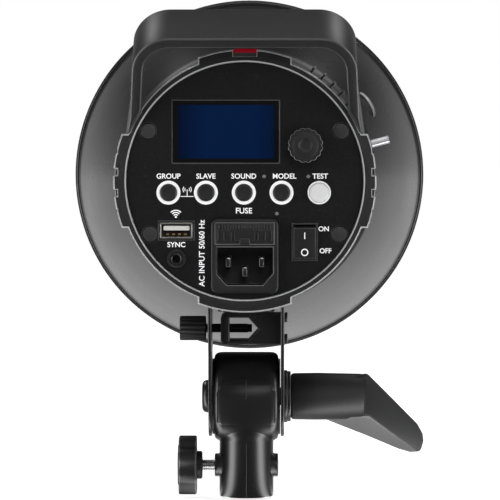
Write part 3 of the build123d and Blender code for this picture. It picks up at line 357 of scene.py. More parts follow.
def makeScuffGroup():
    # fine scratches and dust, as a mask from 0 to 1
    group, start, end = newGroup(
        "handlingMarks",
        [("Amount", "NodeSocketFloat", 0.3), ("Scale", "NodeSocketFloat", 60.0)],
        [("Mask", "NodeSocketFloat")])
    broad = objectNoise(group, start, "Scale", 6.0, 0.7)
    fine = objectNoise(group, start, 900.0, 2.0, 0.5)
    patches = mapRange(group, broad.outputs["Fac"], 0.55, 0.75, 0.0, 1.0)
    dust = mapRange(group, fine.outputs["Fac"], 0.6, 0.72, 0.0, 1.0)
    mask = mathNode(group, "MULTIPLY", mathNode(group, "MULTIPLY", patches, dust), start.outputs["Amount"])
    group.links.new(mask, end.inputs["Mask"])
    return group


grainGroup = makeGrainGroup()
scuffGroup = makeScuffGroup()


def useGroup(tree, group, values):
    node = tree.nodes.new("ShaderNodeGroup")
    node.node_tree = group
    for label, value in values.items():
        node.inputs[label].default_value = value
    return node


def newMaterial(name):
    material = bpy.data.materials.new(name)
    material.use_nodes = True
    tree = material.node_tree
    shader = tree.nodes["Principled BSDF"]
    return material, tree, shader


def addBump(tree, shader, height, strength, distance):
    bump = tree.nodes.new("ShaderNodeBump")
    bump.inputs["Strength"].default_value = strength
    bump.inputs["Distance"].default_value = distance
    tree.links.new(height, bump.inputs["Height"])
    tree.links.new(bump.outputs["Normal"], shader.inputs["Normal"])


def grained(name, color, roughness, grainScale, variation, speckle, bump,
            depth=0.00003, metallic=0.0, coat=0.0, specular=0.5, marks=0.25):
    # depth: how deep the grain is, in metres; marks: how much dust and scuffing shows
    material, tree, shader = newMaterial(name)
    grain = useGroup(tree, grainGroup, {"Color": (*color, 1), "Grain Scale": grainScale,
                                        "Roughness": roughness, "Variation": variation, "Speckle": speckle})
    scuff = useGroup(tree, scuffGroup, {"Amount": marks, "Scale": 45.0})
    tinted = mixColor(tree, scuff.outputs["Mask"], grain.outputs["Color"], (0.2, 0.2, 0.2, 1))
    tree.links.new(tinted, shader.inputs["Base Color"])
    tree.links.new(grain.outputs["Roughness"], shader.inputs["Roughness"])
    addBump(tree, shader, grain.outputs["Height"], bump, depth)
    shader.inputs["Metallic"].default_value = metallic
    shader.inputs["Coat Weight"].default_value = coat
    shader.inputs["Specular IOR Level"].default_value = specular
    return material


# each row: colour, roughness, grain scale, its drift, speckle, bump strength, and what differs
surfaces = {
    "texturedPlastic": ((0.011, 0.011, 0.0115), 0.5, 2200, 0.12, 0.5, 0.4, {"specular": 0.4}),
    "headPlastic": ((0.009, 0.009, 0.0095), 0.32, 2600, 0.1, 0.2, 0.12, {}),
    # edge finishes: lighter greys laid on bevels, painted highlights along the edges (the dull plastic among
    # them is a plain finish)
    "edgePlastic": ((0.05, 0.05, 0.052), 0.4, 2600, 0.15, 0.2, 0.1, {}),
    "edgeGrey": ((0.16, 0.16, 0.165), 0.35, 2600, 0.15, 0.2, 0.1, {}),
    "dullPlastic": ((0.011, 0.011, 0.0115), 0.55, 2200, 0.12, 0.4, 0.4, {"specular": 0.25}),
    "edgeLight": ((0.42, 0.42, 0.43), 0.3, 2600, 0.15, 0.2, 0.1, {}),
    "edgeSteel": ((0.08, 0.08, 0.083), 0.35, 2000, 0.15, 0.2, 0.1, {}),
    # the next finish paints light on the lever's downward faces
    "webGrey": ((0.2, 0.2, 0.205), 0.5, 2200, 0.1, 0.15, 0.3, {}),
    "panelPlastic": ((0.0045, 0.0045, 0.005), 0.6, 1500, 0.1, 0.8, 0.5, {"specular": 0.2, "marks": 0.1}),
    "smoothPlastic": ((0.012, 0.012, 0.0125), 0.36, 3000, 0.12, 0.15, 0.12, {}),
    "softBlack": ((0.009, 0.009, 0.0095), 0.5, 2600, 0.1, 0.3, 0.3, {"specular": 0.4}),
    "jackBlack": ((0.016, 0.016, 0.017), 0.3, 2600, 0.1, 0.2, 0.1, {}),
    "greyPlug": ((0.02, 0.02, 0.021), 0.5, 2400, 0.1, 0.3, 0.3, {}),
    "whitePrint": ((0.8, 0.8, 0.8), 0.55, 3000, 0.1, 0.05, 0.05, {"marks": 0.05}),
    "whiteButton": ((0.7, 0.7, 0.7), 0.5, 2600, 0.12, 0.12, 0.2, {"marks": 0.1}),
    "dimLens": ((0.16, 0.16, 0.17), 0.25, 2600, 0.1, 0.1, 0.05, {"marks": 0.05}),
    "displayBlack": ((0.003, 0.003, 0.0035), 0.3, 1200, 0.05, 0.1, 0.05, {"specular": 0.15, "marks": 0.05}),
    "blackSteel": ((0.006, 0.006, 0.0065), 0.38, 1800, 0.15, 0.2, 0.25, {"coat": 0.1}),
    "bowlPaint": ((0.012, 0.012, 0.0125), 0.28, 3200, 0.08, 0.2, 0.12, {}),
    "bowlInside": ((0.6, 0.6, 0.61), 0.33, 500, 0.15, 0.2, 0.6, {"depth": 0.0004, "metallic": 1.0}),
    "brightSteel": ((0.62, 0.62, 0.63), 0.28, 900, 0.2, 0.1, 0.1, {"metallic": 1.0, "marks": 0.1}),
    "threadSteel": ((0.4, 0.4, 0.41), 0.32, 900, 0.2, 0.1, 0.1, {"metallic": 1.0, "marks": 0.1}),
    "usbSteel": ((0.6, 0.56, 0.48), 0.28, 900, 0.2, 0.1, 0.1, {"metallic": 1.0, "marks": 0.1}),
    "tongueWhite": ((0.62, 0.61, 0.58), 0.5, 2600, 0.1, 0.1, 0.1, {"marks": 0.05}),
    "brass": ((0.68, 0.5, 0.24), 0.3, 900, 0.15, 0.1, 0.1, {"metallic": 1.0}),
    "aluminium": ((0.7, 0.7, 0.72), 0.35, 1200, 0.15, 0.1, 0.15, {"metallic": 1.0}),
    "ceramic": ((0.75, 0.73, 0.68), 0.4, 1500, 0.1, 0.08, 0.1, {}),
    "boardGreen": ((0.02, 0.14, 0.05), 0.4, 1500, 0.1, 0.1, 0.1, {}),
    "copperWire": ((0.5, 0.22, 0.1), 0.35, 1500, 0.1, 0.2, 0.3, {"metallic": 0.8}),
    "nylon": ((0.6, 0.6, 0.56), 0.5, 1500, 0.1, 0.1, 0.1, {}),
    "redGlass": ((0.32, 0.004, 0.012), 0.2, 1200, 0.05, 0.1, 0.05, {"coat": 0.5, "marks": 0.05}),
}
finishes = {name: grained(name, *values, **extra) for name, (*values, extra) in surfaces.items()}


def glassMaterial():
    material, tree, shader = newMaterial("clearGlass")
    drift = useGroup(tree, grainGroup, {"Color": (0.95, 0.97, 1.0, 1), "Grain Scale": 400.0,
                                        "Roughness": 0.04, "Variation": 0.04, "Speckle": 0.0})
    tree.links.new(drift.outputs["Color"], shader.inputs["Base Color"])
    tree.links.new(drift.outputs["Roughness"], shader.inputs["Roughness"])
    shader.inputs["Transmission Weight"].default_value = 1.0
    shader.inputs["IOR"].default_value = 1.47
    return material


def displayMaterial():
    # an unlit blue display given a painted glow: the glow is weaker towards the left end, and a little weaker
    # at the right
    material, tree, shader = newMaterial("displayBlue")
    coords = tree.nodes.new("ShaderNodeTexCoord")
    split = tree.nodes.new("ShaderNodeSeparateXYZ")
    tree.links.new(coords.outputs["Object"], split.inputs["Vector"])
    left = mapRange(tree, split.outputs["X"], -0.0285, -0.017, 0.35, 1.0)
    right = mapRange(tree, split.outputs["X"], 0.004, 0.0125, 1.0, 0.6)
    grain = useGroup(tree, grainGroup, {"Color": (0.0004, 0.0085, 0.042, 1), "Grain Scale": 900.0,
                                        "Roughness": 0.3, "Variation": 0.05, "Speckle": 0.1})
    tree.links.new(grain.outputs["Color"], shader.inputs["Emission Color"])
    tree.links.new(grain.outputs["Roughness"], shader.inputs["Roughness"])
    tree.links.new(mathNode(tree, "MULTIPLY", left, right), shader.inputs["Emission Strength"])
    shader.inputs["Base Color"].default_value = (0.0006, 0.002, 0.006, 1)
    shader.inputs["Specular IOR Level"].default_value = 0.06
    return material


finishes["clearGlass"] = glassMaterial()
# the white print is given a painted glow, on top of its own white
for label, value in (("Emission Color", (1, 1, 1, 1)), ("Emission Strength", 0.22)):
    finishes["whitePrint"].node_tree.nodes["Principled BSDF"].inputs[label].default_value = value
finishes["displayBlue"] = displayMaterial()
print("materials made")

# which finish each CAD node wears
nodeFinish = {
    "blackSteel": ["inlet_pins", "tilt_bracket", "bracket_screws", "tilt_bolt", "tilt_washers",
                   "umbrella_block_screws", "umbrella_thumbscrew", "handle_screws"],
    "headPlastic": ["tilt_head"],
    "texturedPlastic": ["lock_knob", "tilt_lever", "handle", "housing_top", "housing_bottom",
                        "rear_bezel", "front_collar", "umbrella_block", "dial_knob"],
    "softBlack": ["umbrella_pad", "friction_washers", "channel_button", "slave_button", "sound_button",
                  "lamp_button", "inlet_housing", "fuse_drawer", "sync_jack"],
    "smoothPlastic": ["rocker_frame", "rocker", "fan_frame", "fan_rotor"],
    "panelPlastic": ["rear_panel"],
    "greyPlug": ["panel_plugs", "lcd_module", "dial_encoder"],
    "whitePrint": ["button_rings"],
    "whiteButton": ["test_button"],
    "bowlPaint": ["reflector"],
    "brightSteel": ["lock_screw", "lever_nut", "panel_screws", "dial_shaft", "usb_socket"],
    "brass": ["lock_insert"],
    "aluminium": ["release_latch", "chassis", "capacitors", "bayonet_ring", "lamp_plate"],
    "ceramic": ["lamp_holder"],
    "boardGreen": ["control_board", "main_board"],
    "copperWire": ["transformer"],
    "nylon": ["lock_pad"],
    "clearGlass": ["modelling_lamp", "flash_tube", "fuse", "lcd_window"],
    "redGlass": ["sensor_window"],
}
finishOf = {node: finish for finish, members in nodeFinish.items() for node in members}


for node, piece in nodes.items():
    piece.data.materials.clear()
    piece.data.materials.append(finishes[finishOf[node]])


def wear(piece, finish, edge="edgePlastic"):
    # first slot: the finish; second slot: a second finish, which on bevelled edges is a lighter one that
    # paints their highlight
    piece.data.materials.clear()
    piece.data.materials.append(finishes[finish])
    piece.data.materials.append(finishes[edge])


def stand(piece, body, slot, *replaced):
    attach(piece, body)
    if replaced:
        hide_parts(*replaced)


def finish(piece, look, body, slot, *replaced, edge="edgePlastic", bevel=None, smoothing=None):
    # edge: its second finish, a lighter one that paints a highlight on bevels; bevel: width, segments and
    # whether the second finish goes on it
    wear(piece, look, edge)
    if bevel:
        width, segments, paintHighlight = bevel
        bevelEdges(piece, width, segments, paintHighlight=paintHighlight)
    if smoothing:
        smooth(piece, smoothing)
    stand(piece, body, slot, *replaced)


def copyNode(node):
    first, *others = node.split("_")
    name = first + "".join(word.capitalize() for word in others)
    piece = bpy.data.objects.new(name, nodes[node].data.copy())
    bpy.context.scene.collection.objects.link(piece)
    pick(piece)
    bpy.ops.mesh.customdata_custom_splitnormals_clear()
    edit()
    bpy.ops.mesh.select_all(action="SELECT")
    bpy.ops.mesh.remove_doubles(threshold=0.001 * mm)
    bpy.ops.mesh.dissolve_limited(angle_limit=radians(0.5))
    bpy.ops.object.mode_set(mode="OBJECT")
    return piece


# their faces wrap round an opening, so they are split before the edges are broken
wrapped = ("handle", "umbrella_block", "inlet_housing")


def refined(node, width, segments, edge=None, clamp=False):
    # a merged copy of a CAD node with its edges broken; an edge finish, when given, goes on the bevels as a
    # painted highlight
    piece = copyNode(node)
    wear(piece, finishOf[node], edge or "edgePlastic")
    if node in wrapped:
        edit()
        bpy.ops.mesh.select_all(action="SELECT")
        bpy.ops.mesh.quads_convert_to_tris(quad_method="BEAUTY", ngon_method="BEAUTY")
        bpy.ops.object.mode_set(mode="OBJECT")
    if width:
        bevelEdges(piece, width, segments, 35, paintHighlight=bool(edge), clamp=clamp)
    smooth(piece, 40)
    stand(piece, bodyOf[node], slotOf[node], node)


# shells and plain pieces: width, segments, and the lighter finish painted on their broken edges as a
# highlight
brokenEdges = {
    "handle": (0.7, 3, "edgePlastic"), "rear_bezel": (0.25, 2, "edgeLight"),
    "housing_top": (0.35, 2, None), "housing_bottom": (0.35, 2, None), "front_collar": (0.3, 2, None),
    "tilt_bracket": (0.3, 2, "edgeSteel"), "bracket_screws": (0.4, 2, None),
    "tilt_bolt": (0.3, 2, "edgeSteel"),
    "tilt_washers": (0.25, 2, "edgeSteel"), "lever_nut": (0.4, 2, None),
    "umbrella_block": (0.4, 2, "edgePlastic"), "umbrella_block_screws": (0.3, 2, "edgeSteel"),
    "panel_plugs": (0.2, 2, "edgePlastic"), "handle_screws": (0.2, 1, None), "button_rings": (0.12, 2, None),
    "inlet_housing": (0.25, 2, "edgeGrey"), "inlet_pins": (0.35, 2, "brightSteel"),
    "fuse_drawer": (0.2, 2, "edgePlastic"), "rocker_frame": (0.2, 2, "edgePlastic"),
    "rocker": (0.3, 2, "edgePlastic"), "sensor_window": (0.25, 2, None),
    "bayonet_ring": (0.3, 2, None), "lamp_plate": (0.3, 2, None), "lamp_holder": (0.6, 2, None),
    "flash_tube": (0, 0, None), "rear_panel": (0.12, 1, "edgePlastic"),
}
for node, (width, segments, edge) in brokenEdges.items():
    refined(node, width, segments, edge)
refined("release_latch", 0.6, 3, clamp=True)
print("edges broken on", len(brokenEdges) + 1, "pieces")

# reflector
# outer: three points of the bowl's curve; bead: stations, and how far each stands off that curve
bowl = {"start": 110.3, "sheet": 1.2, "sleeve": 45.6, "sleeveBack": 102.3, "sleeveWall": 1.4, "flange": 55.0,
        "outer": ((111.5, 55.0), (164.9, 73.3), (229.5, 88.75)), "curveFrom": 111.7, "curveTo": 220.8,
        "bead": ((221.6, 0.35), (222.5, 0.3), (223.2, -0.7), (224.4, -1.1), (225.8, -1.0), (227.0, -0.3)),
        "rollRadius": 1.5, "rollAt": (229.0, 88.4), "insideFrom": 226.5,
        "holeAngle": 31.0, "holeAt": 150.0, "holeRadius": 7.0}


def circleThrough(a, b, c):
    # centre and radius of the circle through three points
    (ax, ay), (bx, by), (cx, cy) = a, b, c
    d = 2 * (ax * (by - cy) + bx * (cy - ay) + cx * (ay - by))
    a2, b2, c2 = ax * ax + ay * ay, bx * bx + by * by, cx * cx + cy * cy
    x = (a2 * (by - cy) + b2 * (cy - ay) + c2 * (ay - by)) / d
    y = (a2 * (cx - bx) + b2 * (ax - cx) + c2 * (bx - ax)) / d
    return x, y, sqrt((ax - x) ** 2 + (ay - y) ** 2)


bowlCircle = circleThrough(*bowl["outer"])


def bowlOuter(y):
    x, r, size = bowlCircle
    return r + sqrt(size * size - (y - x) ** 2)


def makeBowl():
    profile = [(bowl["sleeveBack"], bowl["sleeve"]), (bowl["start"], bowl["sleeve"]),
               (bowl["start"], bowl["flange"] - 0.6), (bowl["start"] + 0.4, bowl["flange"])]
    for step in range(25):
        y = bowl["curveFrom"] + (bowl["curveTo"] - bowl["curveFrom"]) * step / 24
        profile.append((y, bowlOuter(y)))
    # a raised bead, a groove, and the rolled rim
    profile += [(y, bowlOuter(y) + rise) for y, rise in bowl["bead"]]
    for step in range(9):
        angle = radians(215 - 28 * step)
        profile.append((bowl["rollAt"][0] + bowl["rollRadius"] * cos(angle),
                        bowl["rollAt"][1] + bowl["rollRadius"] * sin(angle)))
    for step in range(22):
        y = bowl["insideFrom"] - (bowl["insideFrom"] - bowl["curveFrom"]) * step / 21
        profile.append((y, bowlOuter(y) - bowl["sheet"] - (0.9 if y > 222 else 0)))
    bore = bowl["sleeve"] - bowl["sleeveWall"]
    profile += [(bowl["curveFrom"], bore), (bowl["sleeveBack"], bore), (bowl["sleeveBack"], bowl["sleeve"])]
    piece = turned("reflectorBowl", profile, lampAxis, "Y", 144)
    turn = radians(bowl["holeAngle"])
    out = Vector((cos(turn), 0, sin(turn)))
    deselectAll()
    hole = lampAxis + axes["Y"] * bowl["holeAt"] * mm
    bpy.ops.mesh.primitive_cylinder_add(vertices=48, radius=bowl["holeRadius"] * mm, depth=30 * mm,
                                        location=hole + out * 70 * mm,
                                        rotation=out.to_track_quat("Z", "Y").to_euler())
    tool = bpy.context.object
    settle(tool)
    carve(piece, tool)
    wear(piece, "bowlPaint", "bowlInside")
    piece.data.materials.append(finishes["edgeLight"])
    for face in piece.data.polygons:
        spoke = face.center - lampAxis
        spoke.y = 0
        inward = face.normal.dot(spoke.normalized()) < -0.05
        face.material_index = 1 if inward and 1000 * face.center.y < 227.5 else 0
        # the cut wall of the umbrella hole wears the third finish: its bare metal, in a pale grey that also
        # paints a highlight on it
        offset = face.center - hole
        around = (offset - out * offset.dot(out)).length / mm
        if abs(around - bowl["holeRadius"]) < 0.2 and abs(face.normal.dot(out)) < 0.3:
            face.material_index = 2
    smooth(piece, 30)
    stand(piece, "reflector", "reflector_paint", "reflector")


shutter = {"back": 139.0, "length": 21.5, "inside": 0.8, "thick": 0.6, "arc": 15.0}


def makeShutter():
    # a sprung flap inside the umbrella hole
    line = []
    for step in range(8):
        y = shutter["back"] + shutter["length"] * step / 7
        line.append((y, bowlOuter(y) - bowl["sheet"] - shutter["inside"]))
    line += [(y, r - shutter["thick"]) for y, r in reversed(line)] + [line[0]]
    piece = turned("holeShutter", line, lampAxis, "Y", 12, arc=shutter["arc"],
                   start=-(bowl["holeAngle"] - shutter["arc"] / 2))
    finish(piece, "softBlack", "reflector", "reflector_paint", smoothing=30)


lugs = {"count": 3, "middle": 65.0, "arc": 13.0, "back": 102.3, "front": 105.7, "foot": 45.2, "top": 49.9}


def makeLugs():
    back, front, foot, top = lugs["back"], lugs["front"], lugs["foot"], lugs["top"]
    lug = turned("bayonetLugs", [(back, foot), (back, top), (front, top), (front, foot), (back, foot)],
                 lampAxis, "Y", 8, arc=lugs["arc"], start=-(lugs["middle"] - lugs["arc"] / 2))
    turns = [aboutLamp(-360 / lugs["count"] * index) for index in range(lugs["count"])]
    finish(join("bayonetLugs", copied(lug, turns)), "brightSteel", "reflector", "reflector_paint",
           bevel=(0.25, 2, False), smoothing=30)


makeBowl()
makeShutter()
makeLugs()
print("reflector made")

# cooling fins on the right shoulder
fins = {"from": -76.0, "to": -44.0, "inside": 51.5, "outside": 57.2, "width": 1.1,
        "lowest": 31.0, "apart": 5.5, "count": 6}


def makeFins():
    back, front, foot, top = fins["from"], fins["to"], fins["inside"], fins["outside"]
    outline = [(back, foot), (back, top - 0.8), (back + 1.5, top), (front - 6, top - 0.2), (front, foot)]
    fin = prism("coolingFins", outline, -fins["width"] / 2, fins["width"], "side")
    # the first stands straight up from the ground; each copy is lifted to the lamp's axis and leans from it
    leans = [radians(90 - fins["lowest"] - fins["apart"] * index) for index in range(fins["count"])]
    parts = copied(fin, [Matrix.Translation(lampAxis) @ Matrix.Rotation(lean, 4, "Y") for lean in leans])
    # the fins' bevels wear the lighter edge finish, a painted highlight
    finish(join("coolingFins", parts), "texturedPlastic", "lamp", "black_plastic", bevel=(0.2, 1, True))


makeFins()

# display
display = {"right": -8.0, "up": 20.6, "width": 45.1, "height": 26.5, "frameLine": 0.6,
           "litWidth": 40.3, "litHeight": 22.4}


def displayPlate(name, width, height, radius, back, depth):
    # back: how far the plate's outer face lies behind the panel's
    outline = corners(width, height, radius, display["right"], axisZ + display["up"])
    return prism(name, outline, faceY + back, depth)


def makeDisplay():
    width, height, line = display["width"], display["height"], 2 * display["frameLine"]
    # the frame's bevel wears the pale edge finish, a painted highlight line round the window
    finish(displayPlate("displayFrame", width, height, 0.7, 0.1, 1.4), "displayBlack", "lamp", "display_blue",
           "lcd_window", edge="edgeGrey", bevel=(0.22, 1, True))
    finish(displayPlate("displayBorder", width - line, height - line, 0.9, 0.02, 0.3), "displayBlack",
           "lamp", "display_blue", bevel=(0.06, 1, False))
    finish(displayPlate("displayArea", display["litWidth"], display["litHeight"], 0.4, -0.03, 0.2),
           "displayBlue", "lamp", "display_blue")


makeDisplay()

# dial
dial = {"right": 25.3, "up": 14.9, "radius": 7.25, "back": 0.4, "length": 12.0, "flutes": 16}


def makeDial():
    front = faceY - dial["back"] - dial["length"]
    spot = panelSpot(dial["right"], dial["up"])
    centre = (spot.x, front * mm, spot.z)
    knob = fluted("dialKnob", centre, "Y", dial["radius"], dial["length"],
                  [0.93, 0.955, 0.99, 1, 1, 1, 0.99, 0.955], dial["flutes"])
    # the flutes' bevels wear the pale edge finish, a painted highlight round the scallops
    wear(knob, "softBlack", "edgeGrey")
    bevelEdges(knob, 0.15, 1, angle=60, paintHighlight=True, clamp=False)
    rings = [(0.1, 0), (-0.05, 2.4), (-0.35, 2.9), (-0.35, 4.9), (-0.1, 5.4), (0.3, 5.5), (0.3, 0)]
    face = turned("dialFace", [(front + y, radius) for y, radius in rings], spot, "Y", 48)
    wear(face, "softBlack")
    knob = join("dialKnob", [knob, face])
    smooth(knob, 30)
    stand(knob, "dial", "black_plastic", "dial_knob")


makeDial()

# push buttons
buttons = {"up": -4.9, "proud": 1.3, "back": 3.6, "flange": 0.9, "flangeThick": 0.9,
           "rows": (("channel_button", -32.0, 3.5), ("slave_button", -16.3, 3.5), ("sound_button", -0.4, 3.5),
                    ("lamp_button", 15.4, 3.5), ("test_button", 31.2, 4.1))}


def makeButtons():
    top, back = faceY - buttons["proud"], faceY + buttons["back"]
    shelf = back - buttons["flangeThick"]
    for node, right, radius in buttons["rows"]:
        brim = radius + buttons["flange"]
        profile = [(top + 0.25, 0), (top + 0.2, 0.4 * radius), (top + 0.02, 0.75 * radius),
                   (top, radius - 0.75), (top + 0.1, radius - 0.4), (top + 0.35, radius - 0.1),
                   (top + 0.75, radius), (shelf, radius), (shelf, brim), (back, brim), (back, 0)]
        cap = turned(node.split("_")[0] + "Cap", profile, panelSpot(right, buttons["up"]), "Y", 48)
        finish(cap, finishOf[node], node, slotOf[node], node, smoothing=35)


makeButtons()

# printed words and signs
# text, right and up of its middle, height of its capitals, turn
printed = (("GROUP", -32.0, 1.9, 2.1, 0), ("SLAVE", -16.3, 1.9, 2.1, 0), ("SOUND", -0.4, 1.9, 2.1, 0),
           ("MODEL", 16.6, 1.9, 2.1, 0), ("TEST", 31.6, 1.9, 2.1, 0), ("FUSE", -0.4, -12.6, 2.3, 0),
           ("SYNC", -28.7, -26.8, 2.1, 0), ("ON", 33.1, -20.2, 2.0, 0), ("OFF", 33.8, -29.4, 2.0, 0),
           ("AC INPUT 50/60 Hz", -17.9, -30.3, 2.3, pi / 2))
sign = {"thick": 0.06, "sunk": 0.02, "capShare": 0.7, "bolder": 0.055,
        "wirelessRight": -28.9, "wirelessUp": -15.3, "waves": (1.2, 2.1, 3.0),
        "radioRight": -24.15, "radioUp": -3.6, "ripples": (1.0, 1.75), "linkUp": -6.5}


def writeWord(text, right, up, height, turn):
    deselectAll()
    bpy.ops.object.text_add()
    word = bpy.context.object
    word.data.body = text
    word.data.size = height / sign["capShare"] * mm
    word.data.align_x = "CENTER"
    word.data.align_y = "CENTER"
    word.data.offset = sign["bolder"] * mm
    word.data.extrude = sign["thick"] * mm
    word.data.resolution_u = 4
    bpy.ops.object.convert(target="MESH")
    word.rotation_euler = (pi / 2, -turn, 0)
    word.location = (right * mm, faceY * mm, (axisZ + up) * mm)
    settle(word)
    return word


def mark(outline):
    # a printed mark, a little proud of the panel
    return prism("mark", outline, faceY - sign["thick"], sign["thick"] + sign["sunk"])


def arcMark(radius, width, right, up, start, arc):
    outer = ringPoints(radius + width / 2, right, up, 12, start, arc)
    inner = ringPoints(radius - width / 2, right, up, 12, start, arc)
    return mark(outer + inner[::-1])


def makePrint():
    parts = [writeWord(*row) for row in printed]
    # wireless sign over the data socket: three arcs and a dot
    right, up = sign["wirelessRight"], axisZ + sign["wirelessUp"]
    parts += [arcMark(radius, 0.45, right, up, 45, 90) for radius in sign["waves"]]
    parts.append(mark(ringPoints(0.45, right, up + 0.2, 12)))
    # radio sign between the first two buttons, its mast, and the line that joins them
    right, up = sign["radioRight"], axisZ + sign["radioUp"]
    for radius in sign["ripples"]:
        parts += [arcMark(radius, 0.3, right, up, start, 80) for start in (-40, 140)]
    parts.append(mark(corners(0.3, 2.8, 0.1, right, up - 1.3, 2)))
    parts.append(mark(corners(5.6, 0.3, 0.1, right, axisZ + sign["linkUp"], 2)))
    finish(join("panelPrint", parts), "whitePrint", "lamp", "white_plastic")


skirt = {"up": 52.8, "width": 9.7, "height": 1.6, "proud": 1.35, "thick": 0.3}


def makeWindowSkirt():
    # the lower half of the sensor window is masked
    outline = corners(skirt["width"], skirt["height"], 0.15, 0, axisZ + skirt["up"], 2)
    # its bevel wears the lighter edge finish, a painted highlight
    finish(prism("windowSkirt", outline, faceY - skirt["proud"], skirt["thick"]), "greyPlug",
           "lamp", "black_plastic", bevel=(0.08, 1, True))


statusSpots = ((8.1, 1.9), (26.6, 1.9), (13.4, -13.7))


def makeStatusLights():
    lens = turned("statusLights", [(faceY - 0.25, 0), (faceY - 0.2, 0.4), (faceY, 0.75), (faceY + 0.5, 0.75),
                                   (faceY + 0.5, 0)], lampAxis, "Y", 20)
    lenses = copied(lens, [shift(right, 0, up) for right, up in statusSpots])
    finish(join("statusLights", lenses), "dimLens", "lamp", "grey_plastic", smoothing=40)


makePrint()
makeWindowSkirt()
makeStatusLights()
print("panel controls made")

# data socket and sync jack
usb = {"right": -28.7, "up": -20.8, "width": 13.5, "height": 6.5, "wall": 0.55, "depth": 13.0, "rim": 0.85,
       "contactPitch": 2.5, "contacts": 4}


def usbPrism(name, width, height, radius, y, depth, right=0.0, up=0.0, steps=5):
    # a block centred on the socket, right and up of its middle
    outline = corners(width, height, radius, usb["right"] + right, axisZ + usb["up"] + up, steps)
    return prism(name, outline, faceY + y, depth)


def makeUsb():
    width, height, wall, depth = usb["width"], usb["height"], usb["wall"], usb["depth"]
    plate = usbPrism("usbSurround", width + 2 * usb["rim"], height + 2 * usb["rim"], 1.0, -0.15, 1.35)
    carve(plate, usbPrism("tool", width - 0.2, height - 0.2, 0.5, -3, 6))
    # the surround's bevel wears the lighter edge finish, a painted highlight
    finish(plate, "softBlack", "lamp", "steel", bevel=(0.2, 2, True))
    shell = usbPrism("usbShell", width, height, 0.6, -0.3, depth)
    carve(shell, usbPrism("tool", width - 2 * wall, height - 2 * wall, 0.4, -3, depth + 1.2))
    # the shell's bevel wears bright steel, a painted highlight on its edge
    finish(shell, "usbSteel", "lamp", "steel", "usb_socket", edge="brightSteel", bevel=(0.12, 2, True))
    tongue = usbPrism("usbTongue", 10.9, 1.9, 0.2, 0.5, depth - 3, up=1.0, steps=2)
    finish(tongue, "tongueWhite", "lamp", "white_plastic", bevel=(0.15, 2, False))
    back = usbPrism("usbWell", 12.3, 5.3, 0.2, 4.5, 0.6, steps=2)
    finish(back, "softBlack", "lamp", "black_plastic", bevel=(0.1, 1, False))
    contact = usbPrism("usbContacts", 1.15, 0.7, 0.1, 1.6, 2.5, up=-1.6, steps=2)
    middle = (usb["contacts"] - 1) / 2
    moves = [shift(usb["contactPitch"] * (index - middle)) for index in range(usb["contacts"])]
    finish(join("usbContacts", copied(contact, moves)), "brass", "lamp", "brass", bevel=(0.08, 1, False))


jack = {"right": -28.7, "up": -32.7}


def makeJack():
    profile = [(13, 0), (13, 2.9), (0, 2.9), (0, 4.0), (-0.55, 4.0), (-0.85, 3.75), (-0.9, 3.3), (-0.8, 3.0),
               (-0.35, 2.75), (-0.35, 2.45), (-0.7, 2.3), (-0.75, 2.0), (-0.6, 1.8), (-0.2, 1.72),
               (8, 1.72), (8, 0)]
    spot = panelSpot(jack["right"], jack["up"])
    piece = turned("syncJack", [(faceY + y, radius) for y, radius in profile], spot, "Y", 48)
    finish(piece, "jackBlack", "lamp", "gloss_black", "sync_jack", smoothing=30)


makeUsb()
makeJack()

# fuse drawer's ridges, and the marks on the rocker
drawer = {"front": -107.2, "up": -22.0, "rise": 0.35, "ridges": 19, "pitch": 1.18, "first": -10.6}


def drawerBar(width, height, right, up, rise=drawer["rise"]):
    return prism("drawerRidges", corners(width, height, 0.15, right, axisZ + drawer["up"] + up, 2),
                 drawer["front"] - rise, rise + 0.05)


def makeRidges():
    ridge = drawerBar(0.45, 1.9, drawer["first"], 2.7)
    parts = copied(ridge, [shift(drawer["pitch"] * index) for index in range(drawer["ridges"])])
    for side in (-1, 1):
        parts.append(drawerBar(5.2, 0.35, side * 8.4, 1.3))
        parts.append(drawerBar(0.4, 4.4, side * 11.2, -1.0))
        parts.append(drawerBar(0.4, 3.4, side * 8.6, -1.2))
        parts.append(drawerBar(0.4, 3.4, side * 5.6, -1.2))
    # the finger plate and the pull under it
    parts.append(drawerBar(8.6, 4.6, 0, -0.6, 0.5))
    parts.append(drawerBar(4.0, 1.6, 0, -3.9, 0.9))
    # the ridges' bevels wear the lighter edge finish, a painted highlight
    finish(join("drawerRidges", parts), "softBlack", "fuse_drawer", "black_plastic", bevel=(0.1, 1, True))


rocker = {"right": 25.1, "up": -25.6, "pivot": -103.2, "tilt": 8.0, "half": 3.0,
          "offDown": 3.9, "offRadius": 1.55, "offHole": 1.1, "onUp": 3.2, "onLength": 2.9, "lineWidth": 0.42}


def makeRockerMarks():
    # the lower half stands upright, the upper half leans back by twice the tilt
    tilt = radians(rocker["tilt"])
    middle = Vector((rocker["right"], rocker["pivot"] - rocker["half"] * cos(tilt),
                     axisZ + rocker["up"] - rocker["half"] * sin(tilt))) * mm
    proud, depth = sign["thick"], sign["thick"] + sign["sunk"]
    ring = prism("rockerMarks", ringPoints(rocker["offRadius"]), -proud, depth)
    carve(ring, prism("tool", ringPoints(rocker["offHole"]), -1, 2))
    ring.location = middle + Vector((0, 0, -rocker["offDown"] * mm))
    settle(ring)
    line = prism("rockerMarks", corners(rocker["lineWidth"], rocker["onLength"], 0.1, 0, rocker["onUp"], 2),
                 -proud, depth)
    line.rotation_euler = (2 * tilt, 0, 0)
    line.location = middle
    settle(line)
    finish(join("rockerMarks", [ring, line]), "whitePrint", "rocker", "white_plastic")


makeRidges()
makeRockerMarks()

